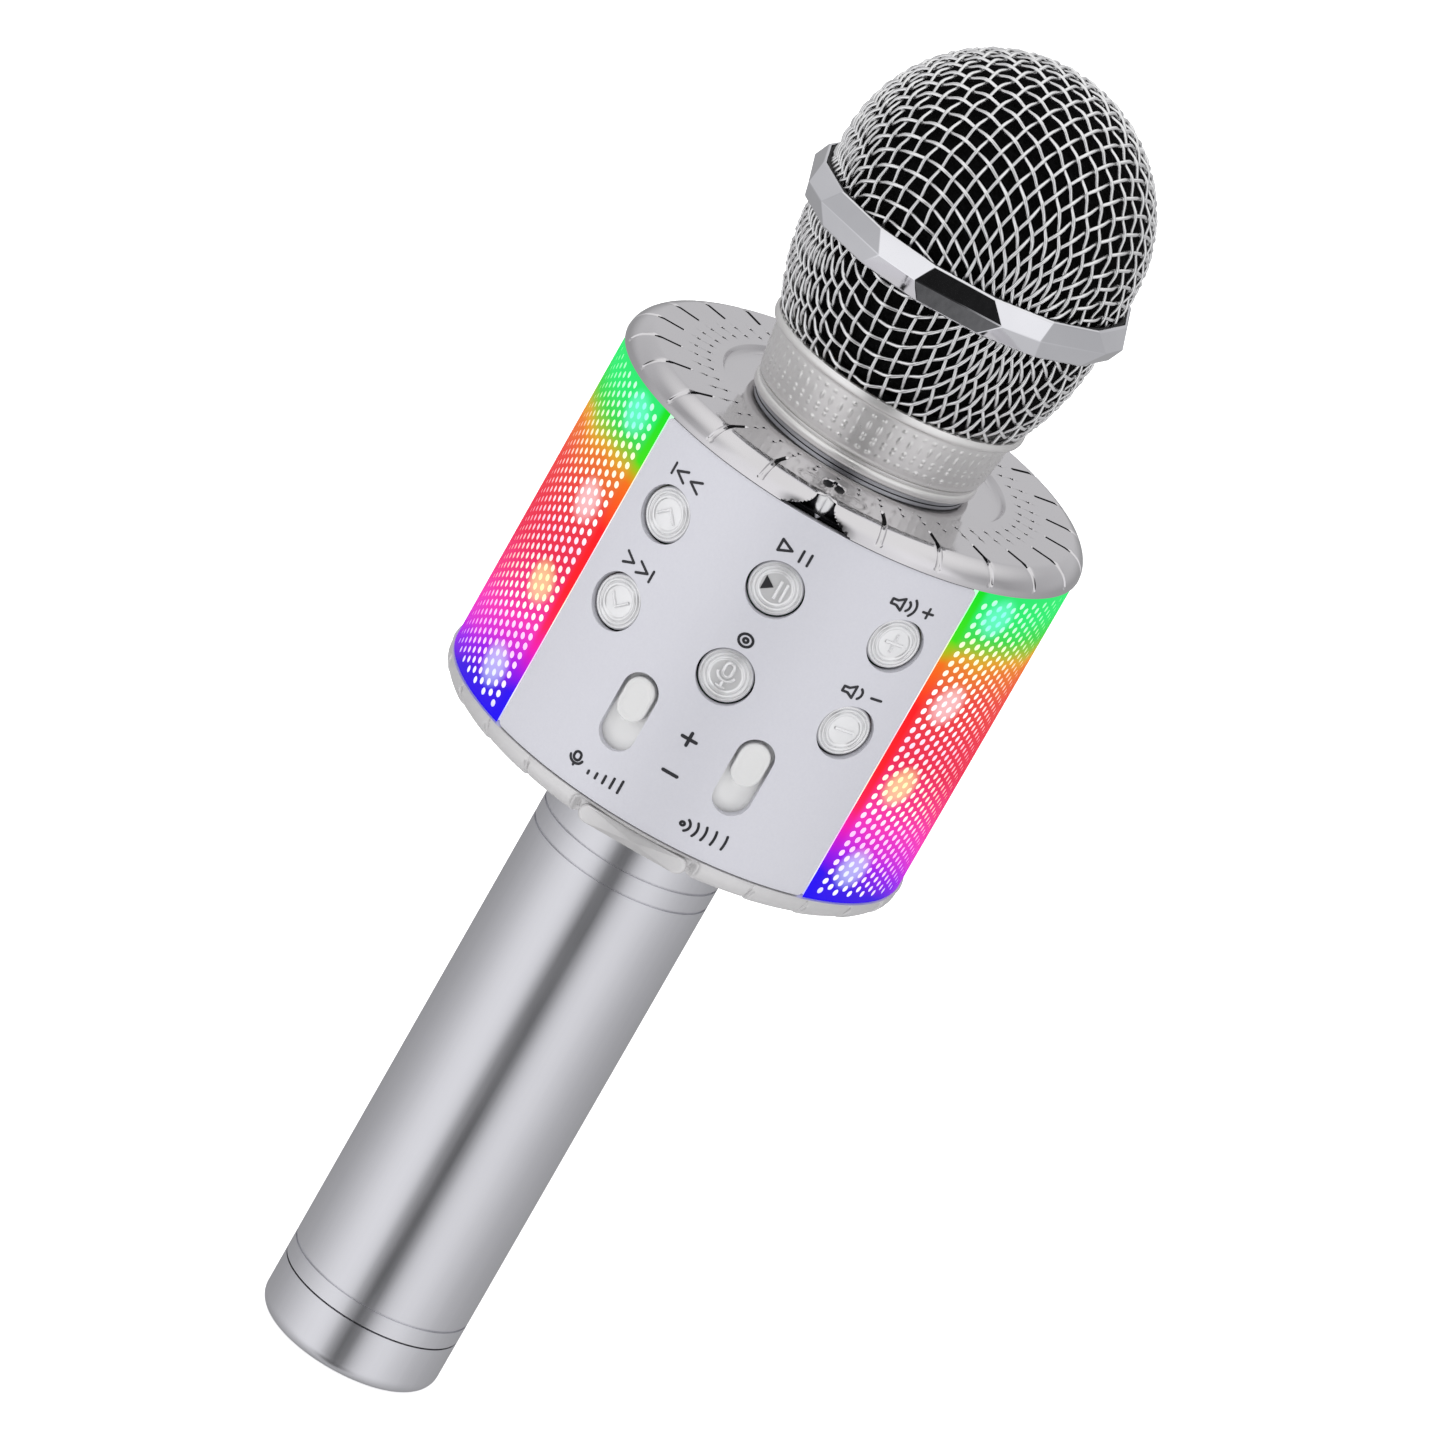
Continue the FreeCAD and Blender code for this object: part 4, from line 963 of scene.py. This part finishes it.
def make_ornament(finish):
    """A small upright leaf with a raised vein, standing in the notch of the top cover."""
    stations = [
        (0.05, 0.1, 0.15),
        (0.3, 0.38, 0.35),
        (0.9, 0.75, 0.5),
        (1.5, 1.12, 0.65),
        (2.2, 1.38, 0.72),
        (2.9, 1.45, 0.75),
        (3.4, 1.3, 0.72),
        (3.65, 0.75, 0.6),
        (3.8, 0.3, 0.5),
    ]
    rows = []
    for rise, half, bulge in stations:
        for across in (-1.0, -0.75, -0.4, -0.12, 0.0, 0.12, 0.4, 0.75, 1.0):
            vein = 0.3 * math.exp(-((across * half / 0.1) ** 2))
            out = 39.5 + bulge * ((1 - across**2) ** 0.5 + vein)
            lean = max(0.0, rise - 2.4) * 0.8
            rows.append((across * half, -(out - lean), BARREL_HEAD + rise))
    points = numpy.array(rows)
    back = points.copy()
    back[:, 1] = -38.9
    count = len(stations)
    faces = net_faces(count, 9).tolist()
    faces += [face[::-1] for face in net_faces(count, 9, start=count * 9).tolist()]
    for row in range(count - 1):
        for column in (0, 8):
            near = row * 9 + column
            far = near + 9
            ring = [near, far, far + count * 9, near + count * 9]
            faces.append(ring if column == 0 else ring[::-1])
    front, behind, last = range(9), range(count * 9, count * 9 + 9), (count - 1) * 9
    faces.append([*reversed(front), *behind])
    faces.append([last + corner for corner in (*front, *reversed(behind))])
    Stock().add(numpy.vstack([points, back]), faces).piece(
        "leaf_ornament", finish, "chrome", "barrel", ["top_ornament"], 45
    )


# ---- barrel ----


def make_side_grille(side, turn, finish):
    """A thin curved sheet with staggered round holes and a plain margin all round."""
    column_pitch, row_pitch, hole = 1.78, 1.8, 0.61
    half_width = math.radians(GRILLE_EDGE) * GRILLE_FACE
    near = column_pitch / 2 - row_pitch**2 / (8 * column_pitch)
    far = column_pitch / 2 + row_pitch**2 / (8 * column_pitch)
    half_row = row_pitch / 2
    corners = [(near, half_row), (far, 0.0), (near, -half_row)]
    corners += [(-near, -half_row), (-far, 0.0), (-near, half_row)]
    rim = []
    for index, corner in enumerate(corners):
        following = corners[(index + 1) % 6]
        rim.append(corner)
        rim.append(((corner[0] + following[0]) / 2, (corner[1] + following[1]) / 2))
    rim = numpy.array(rim)
    hole_ring = rim / numpy.linalg.norm(rim, axis=1, keepdims=True) * hole
    points = []
    found = {}
    faces = []

    def index_of(point):
        across = min(max(point[0], -half_width), half_width)
        up = min(max(point[1], BARREL_FOOT + 0.05), BARREL_HEAD - 0.05)
        key = (round(across, 3), round(up, 3))
        if key not in found:
            found[key] = len(points)
            points.append(key)
        return found[key]

    columns = int(half_width / column_pitch) + 2
    rows = int((BARREL_HEAD - BARREL_FOOT) / row_pitch) + 2
    for column in range(-columns, columns + 1):
        for row in range(-1, rows + 1):
            across = column * column_pitch
            up = BARREL_FOOT + 0.9 + (row + 0.5 * (column % 2)) * row_pitch
            outline = [index_of((across + x, up + y)) for x, y in rim]
            open_here = abs(across) < half_width - 1.5 and BARREL_FOOT + 1.0 < up < BARREL_HEAD - 0.9
            if open_here:
                ring = [index_of((across + x, up + y)) for x, y in hole_ring]
                for step in range(12):
                    after = (step + 1) % 12
                    faces.append(((outline[step], outline[after], ring[after], ring[step]), False))
                    faces.append(((ring[step], ring[after]), True))
            else:
                kept = [corner for order, corner in enumerate(outline) if corner != outline[order - 1]]
                if len(set(kept)) > 2 and flat_area([points[corner] for corner in kept]) > 0.01:
                    faces.append((tuple(kept), False))
    count = len(points)
    flat = numpy.array(points)
    outer = numpy.column_stack([flat, numpy.full(count, GRILLE_FACE)])
    inner = numpy.column_stack([flat, numpy.full(count, GRILLE_BACK)])
    built = []
    for face, is_wall in faces:
        if is_wall:
            start, end = face
            built.append([start, end, end + count, start + count])
        else:
            built.append(list(face)[::-1])
            built.append([corner + count for corner in face])
    both = numpy.vstack([outer, inner])
    both[:, 0] *= BARREL / GRILLE_FACE
    Stock().add(bent(both, turn), built).piece(
        f"{side}_pierced_grille", finish, "speaker_grille", "barrel", [f"{side}_grille"], 40
    )


def make_light_film(side, turn, finish):
    """The milky film right behind a grille, which shows as bright dots through its holes."""
    count = 60
    sweep = numpy.radians(numpy.linspace(-GRILLE_EDGE + 0.3, GRILLE_EDGE - 0.3, count)) * BARREL
    foot, head = BARREL_FOOT + 0.3, BARREL_HEAD - 0.3
    face, back = GRILLE_BACK - 0.02, 39.1
    rows = []
    for out, height in ((face, foot), (face, head), (back, head), (back, foot)):
        rows.append(numpy.column_stack([sweep, numpy.full(count, height), numpy.full(count, out)]))
    faces = net_faces(4, count, True).tolist()
    faces.append([row * count for row in range(4)])
    faces.append([row * count - 1 for row in range(4, 0, -1)])
    Stock().add(bent(numpy.concatenate(rows), turn), faces).piece(
        f"{side}_light_film", finish, "diffuser_white", "barrel", [f"{side}_light_diffuser"], 40
    )


def flat_area(outline):
    total = 0.0
    for (x0, y0), (x1, y1) in zip(outline, outline[1:] + outline[:1]):
        total += x0 * y1 - x1 * y0
    return abs(total) / 2


def upright(across, half=0.9):
    return [(across, -half), (across, half)]


def level(start, end, up=0.0):
    return [(start, up), (end, up)]


def chevron(tail, tip, half=0.95):
    return [(tail, -half), (tip, 0.0), (tail, half)]


def capsule_outline(middle, foot, head, radius, steps):
    """An upright outline with half-round ends, from its lower left corner."""
    top = arc((middle, head), radius, 180, 0, steps)
    bottom = arc((middle, foot), radius, 0, -180, steps)
    return [(middle - radius, foot), (middle - radius, head), *top, (middle + radius, foot), *bottom]


def horn(mouth):
    """A small loudspeaker seen from the side, with its mouth at the right."""
    back, neck = mouth - 1.7, mouth - 0.9
    return [(back, -0.4), (neck, -0.4), (mouth, -1.0), (mouth, 1.0), (neck, 0.4), (back, 0.4), (back, -0.4)]


ICONS = {
    "button_previous": [[(-1.5, -0.7), (0.0, 0.8), (1.5, -0.7)]],
    "button_next": [[(-1.5, 0.7), (0.0, -0.8), (1.5, 0.7)]],
    "button_volume_up": [level(-1.3, 1.3), upright(0.0, 1.3)],
    "button_volume_down": [level(-1.4, 1.4)],
    "button_play": [upright(0.35, 1.3), upright(1.25, 1.3)],
    "button_record": [
        capsule_outline(0.0, 0.4, 1.2, 0.6, 8),
        arc((0, 0.45), 1.25, 190, 350, 12),
        [(0.0, -0.8), (0.0, -1.6)],
        level(-0.7, 0.7, -1.7),
    ],
}


def make_button(name, finish, ink):
    angle, height = BUTTONS[name]
    dish = [(0.01, -0.06), (1.6, -0.09), (2.3, -0.14), (2.48, -0.16)]
    inner_ring = [(2.6, -0.06), (2.72, 0.02), (2.88, 0.04), (3.03, -0.03), (3.11, -0.16), (3.2, -0.22)]
    middle_ring = [(3.29, -0.16), (3.37, -0.03), (3.5, 0.04), (3.65, 0.0), (3.76, -0.14), (3.84, -0.2)]
    outer_ring = [(3.92, -0.12), (4.0, -0.02), (4.12, -0.01), (4.26, -0.08), (4.38, -0.22), (4.46, -0.42)]
    side = [(4.5, -0.7), (4.5, -1.8), (0.01, -1.8)]
    profile = dish + inner_ring + middle_ring + outer_ring + side
    turn = numpy.linspace(0, 2 * math.pi, 72, endpoint=False)
    points = []
    for radius, out in profile:
        for t in turn:
            points.append((radius * math.cos(t), radius * math.sin(t), BUTTON_FACE + out))
    faces = net_faces(len(profile), 72, True, True)[:, ::-1].tolist()
    stock = Stock().add(faced(points, angle, height), faces)
    for line in ICONS[name]:
        path = smooth_line([(x * 1.22, y * 1.22) for x, y in line])
        raised = [(x, y, BUTTON_FACE - 0.06) for x, y in path]
        stock.add(*laid_tube(raised, 0.26, angle, height))
    made = stock.piece(f"{name}_cap", finish, "button_silver", f"{name}_body", [name], 45)
    if name == "button_play":
        outline = numpy.array([(-2.15, -1.25), (-2.15, 1.25), (-0.35, 0.0)])
        low, high = (numpy.column_stack([outline, numpy.full(3, BUTTON_FACE + out)]) for out in (-0.1, 0.02))
        faces = [[0, 2, 1], [3, 4, 5], [0, 1, 4, 3], [1, 2, 5, 4], [2, 0, 3, 5]]
        triangle = Stock().add(faced(numpy.vstack([low, high]), angle, height), faces)
        triangle.piece("play_triangle", ink, "black_plastic", f"{name}_body", (), 30)
    return made


def smooth_line(line, gap=0.18):
    """The same line with a point at least every gap."""
    path = [numpy.array(line[0], float)]
    for point in line[1:]:
        point = numpy.array(point, float)
        steps = max(1, int(numpy.linalg.norm(point - path[-1]) / gap))
        start = path[-1]
        for step in range(1, steps + 1):
            path.append(start + (point - start) * step / steps)
    return path


def laid_tube(points, radius, angle, height):
    ring, faces = tube(points, radius, 8)
    return faced(ring, angle, height), faces


def make_slider_knob(name, finish):
    angle, height = SLIDERS[name]
    outline = stadium(5.2, 7.7, 14) + numpy.array([0, height])
    skirt = [(-3.6, SKIRT_FOOT), (3.6, SKIRT_FOOT), (3.6, SKIRT_HEAD), (-3.6, SKIRT_HEAD)]
    levels = [(0.0, 38.5), (0.0, 40.35), (0.08, 40.62), (0.25, 40.78), (0.5, 40.84)]
    levels += [(0.8, 40.8), (1.05, 40.72), (1.5, 40.72), (2.0, 40.74), (2.45, 40.75)]

    def lay(points):
        return bent(points, angle)

    plate = faced([(x, y, out) for out in (37.95, 38.78) for x, y in skirt], angle, 0)
    plate_faces = net_faces(2, 4, False, True).tolist() + [[4, 5, 6, 7], [3, 2, 1, 0]]
    Stock().add(*rounded_pad(outline, levels, lay)).add(plate, plate_faces).piece(
        f"{name}_cap", finish, "knob_white", f"{name}_body", [name], 55
    )


# ---- printed marks ----

BAR_PLACES = (-1.2, 0.0, 1.2, 2.4, 3.6)
BAR_TOPS = (-0.5, -0.1, 0.3, 0.7, 1.05)
ECHO_WAVES = ((1.1, 58), (2.2, 30), (3.4, 19), (4.8, 13.5), (6.4, 10))
# the marks printed on the panel: the angle, the height and the lines of each
MARKS = {
    "previous_mark": (-30.2, 167.2, [upright(-2.6), chevron(-0.2, -1.9), chevron(2.4, 0.7)]),
    "play_mark": (
        0.0,
        167.2,
        [[*upright(-2.3, 0.95), (-0.5, 0.0), (-2.3, -0.95)], upright(0.9), upright(2.1)],
    ),
    "volume_up_mark": (
        29.6,
        167.2,
        [
            horn(-1.5),
            arc((-1.4, 0), 1.0, -50, 50, 7),
            arc((-1.4, 0), 1.9, -45, 45, 9),
            level(1.7, 3.3),
            upright(2.5, 0.8),
        ],
    ),
    "next_mark": (-30.2, 150.8, [upright(2.6), chevron(0.2, 1.9), chevron(-2.4, -0.7)]),
    "record_mark": (0.0, 150.8, [arc((0, 0), 1.0, 0, 360, 25), arc((0, 0), 0.34, 0, 360, 11)]),
    "volume_down_mark": (29.6, 150.8, [horn(-1.3), arc((-1.2, 0), 1.1, -50, 50, 7), level(1.4, 3.0)]),
    "voice_mark": (
        -14.0,
        119.4,
        [
            capsule_outline(-3.6, 0.2, 0.55, 0.5, 7),
            arc((-3.6, 0.2), 1.0, 190, 350, 9),
            [(-3.6, -0.85), (-3.6, -1.15)],
            *([(across, -0.95), (across, top)] for across, top in zip(BAR_PLACES, BAR_TOPS)),
        ],
    ),
    "echo_mark": (
        13.6,
        119.4,
        [
            arc((-3.4, 0), 0.3, 0, 360, 11),
            *(arc((-3.4, 0), radius, -half, half, 9) for radius, half in ECHO_WAVES),
        ],
    ),
    "more_mark": (0.0, 132.1, [level(-1.05, 1.05), upright(0.0, 1.05)]),
    "less_mark": (0.0, 125.7, [level(-1.05, 1.05)]),
}


def make_mark(name, finish):
    angle, height, lines = MARKS[name]
    width = 0.58 if name in ("more_mark", "less_mark") else 0.44
    stock = Stock()
    for line in lines:
        line = [tuple(point) for point in smooth_line([(x * 1.18, y * 1.06) for x, y in line], 0.6)]
        for start, end in zip(line, line[1:]):
            outline = capsule_line(start, end, width)
            count = len(outline)
            low = numpy.column_stack([outline, numpy.full(count, BARREL - 0.1)])
            high = numpy.column_stack([outline, numpy.full(count, BARREL + 0.035)])
            both = numpy.vstack([low, high])
            both[:, 1] += height
            faces = net_faces(2, count, False, True).tolist()
            faces.append([count + index for index in range(count)])
            stock.add(bent(both, angle), faces)
    stock.piece(name, finish, "black_plastic", "barrel", (), 30)


# ---- room ----


def make_floor():
    finish = Finish("pale_floor", roughness=0.8, emission_color=(1, 1, 1, 1), emission_strength=0.6)
    cloud = finish.noise(3, 2)
    finish.feed(base_color=finish.mixed(cloud, paint(250, 250, 250), paint(254, 254, 254)))
    mesh = bpy.data.meshes.new("floor")
    mesh.from_pydata([(-9, -9, 0), (9, -9, 0), (9, 9, 0), (-9, 9, 0)], [], [(0, 1, 2, 3)])
    mesh.materials.append(finish.material)
    floor = bpy.data.objects.new("floor", mesh)
    bpy.context.scene.collection.objects.link(floor)
    floor.visible_glossy = False


# The brightness of the studio's walls by angle: at the height of the object, above it and below it.
MIDDLE_WALLS = [(-180, 0.34), (-156, 0.37), (-112, 0.48), (-84, 0.66), (-60, 0.92), (-40, 1.05), (-20, 1.05)]
MIDDLE_WALLS += [(-10, 0.08), (0, 0.02), (11, 0.03), (20, 0.9), (45, 1.0), (66, 0.8), (98, 0.56)]
MIDDLE_WALLS += [(134, 0.44), (180, 0.34)]
HIGH_WALLS = [(-180, 0.66), (-120, 0.6), (-82, 0.46), (-66, 0.6), (-50, 1.0), (-20, 1.05), (-10, 0.06)]
HIGH_WALLS += [(0, 0.01), (11, 0.01), (20, 0.9), (45, 1.05), (64, 1.0), (76, 0.6), (100, 0.44)]
HIGH_WALLS += [(130, 0.56), (180, 0.66)]
LOW_WALLS = [(-180, 0.4), (-70, 0.7), (-36, 0.9), (-24, 0.05), (0, 0.01), (24, 0.05), (36, 0.9)]
LOW_WALLS += [(70, 0.7), (180, 0.4)]


def make_sky():
    """A white studio whose walls are dark in front and brightest beside that, for the chrome to show."""
    world = bpy.data.worlds.new("studio")
    bpy.context.scene.world = world
    world.use_nodes = True
    world.node_tree.nodes.clear()
    studio = Nodes(world.node_tree)
    way = studio.node("ShaderNodeTexCoord", output="Generated")
    across, back, up = (studio.node("ShaderNodeSeparateXYZ", None, {0: way}, axis) for axis in range(3))
    share = studio.heading(across, back * -1.0) / 360 + 0.5

    def walls(stops):
        tones = [(angle / 360 + 0.5, (tone, tone, tone * 1.02, 1)) for angle, tone in stops]
        return studio.ramp(share, tones)

    white = (1.0, 1.0, 1.0, 1)
    light = studio.mixed(up.between(-0.12, 0.26), walls(MIDDLE_WALLS), walls(HIGH_WALLS))
    light = studio.mixed(up.between(-0.86, -0.7), walls(LOW_WALLS), light)
    light = studio.mixed(up.between(0.45, 0.9), light, white)
    light = studio.mixed(studio.node("ShaderNodeLightPath", output="Is Camera Ray"), light, white)
    background = studio.node("ShaderNodeBackground", None, {"Color": light, "Strength": 1.0})
    studio.node("ShaderNodeOutputWorld", None, {0: background})


def make_light(name, place, target, size, power):
    lamp = bpy.data.lights.new(name, "AREA")
    lamp.shape = "RECTANGLE"
    lamp.size = size[0]
    lamp.size_y = size[1]
    lamp.energy = power
    holder = bpy.data.objects.new(name, lamp)
    holder.location = place
    holder.visible_glossy = False
    holder.rotation_euler = (Vector(target) - Vector(place)).to_track_quat("-Z", "Y").to_euler()
    bpy.context.scene.collection.objects.link(holder)


def make_camera():
    target = Vector((0.0032, 0.0, 0.1238))
    rise = math.radians(18.3)
    away = 2.1
    camera = bpy.data.cameras.new("camera")
    camera.lens = 328.6
    camera.sensor_width = 36
    holder = bpy.data.objects.new("camera", camera)
    holder.location = target + Vector((0, -math.cos(rise), math.sin(rise))) * away
    looking = Euler((math.pi / 2 - rise, 0, 0)).to_matrix()
    rolled = looking @ Euler((0, 0, math.radians(29.8))).to_matrix()
    holder.rotation_euler = rolled.to_euler()
    bpy.context.scene.collection.objects.link(holder)
    bpy.context.scene.camera = holder


# ---- everything ----


def finish_cad_nodes(finishes):
    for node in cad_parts.values():
        for held in node.material_slots:
            slot_name = held.material.name.split(".")[0] if held.material else None
            if slot_name in finishes:
                held.material = finishes[slot_name].material


def main():
    finishes = {
        "satin_aluminium": satin_aluminium(),
        "plated_plastic": plated_plastic(),
        "chrome": chrome(),
        "mesh_wire": mesh_wire(),
        "panel_silver": pearl_panel(),
        "speaker_grille": glow("grille_glow", SHEET_SHADES, True, 0.98),
        "diffuser_white": glow("diffuser_glow", HOLE_SHADES, False, 1.15),
        "button_silver": plain_finish("button_silver", (212, 212, 213), (224, 224, 225), 0.12, 1500, 0, 0.55),
        "knob_white": white_knob(),
        "black_plastic": plain_finish("black_plastic", (18, 18, 19), (32, 32, 34), 0.4),
        "speaker_cone": plain_finish("speaker_cone", (26, 26, 28), (44, 44, 46), 0.7, 1500, 0.3),
        "magnet_iron": plain_finish("magnet_iron", (80, 82, 86), (110, 112, 116), 0.4, 700, 0.1, 0.9),
        "circuit_board": plain_finish("circuit_board", (12, 82, 46), (24, 106, 62), 0.45, 1200, 0.1),
        "steel": plain_finish("steel", (168, 170, 174), (196, 198, 202), 0.25, 1600, 0.05, 1.0),
        "battery_wrap": plain_finish("battery_wrap", (36, 92, 168), (48, 112, 190), 0.3),
        "lead_red": plain_finish("lead_red", (150, 20, 22), (186, 34, 34), 0.45),
        "black_rubber": plain_finish("black_rubber", (20, 20, 21), (36, 36, 38), 0.75, 1800, 0.2),
        "capsule_brass": plain_finish("capsule_brass", (176, 138, 72), (206, 170, 102), 0.3, 1200, 0.05, 1.0),
        "foam_black": foam(),
    }
    ink = plain_finish("print_ink", (22, 22, 26), (36, 36, 42), 0.5)
    black = plain_finish("triangle_black", (20, 20, 22), (34, 34, 36), 0.35)
    finish_cad_nodes(finishes)

    make_upper_mesh(finishes["mesh_wire"])
    make_lower_mesh(finishes["mesh_wire"])
    make_foam(finishes["foam_black"])
    make_ring(chrome("ring_chrome", rough=0.02))
    make_painted_gap_shade(finishes["black_rubber"])
    make_collar(plain_finish("collar_satin", (214, 213, 212), (238, 237, 235), 0.24, 500, 0.0, 0.78))
    make_top_cover(slotted_plate())
    pale = plain_finish("pale_satin", (186, 185, 186), (204, 203, 203), 0.26, 500, 0.01, 0.55)
    make_bottom_cover(pale)
    make_bottom_lip(pale)
    make_ornament(chrome("leaf_satin", (222, 222, 224), (240, 240, 241), 0.38))
    for side, turn in (("left", -90), ("right", 90)):
        make_side_grille(side, turn, finishes["speaker_grille"])
        make_light_film(side, turn, finishes["diffuser_white"])
    for name in BUTTONS:
        make_button(name, finishes["button_silver"], black)
    for name in SLIDERS:
        make_slider_knob(name, finishes["knob_white"])
    for name in MARKS:
        make_mark(name, ink)

    make_floor()
    make_sky()
    make_light("left_window", (-1.3, -0.5, 0.7), (0, 0, 0.13), (0.9, 1.4), 5)
    make_light("right_window", (1.4, -0.6, 0.6), (0, 0, 0.13), (0.8, 1.4), 3.5)
    make_light("overhead", (-0.1, -0.75, 1.5), (0, 0, 0.13), (0.6, 0.6), 9)
    make_camera()
    bpy.context.scene.view_settings.view_transform = "Standard"


main()
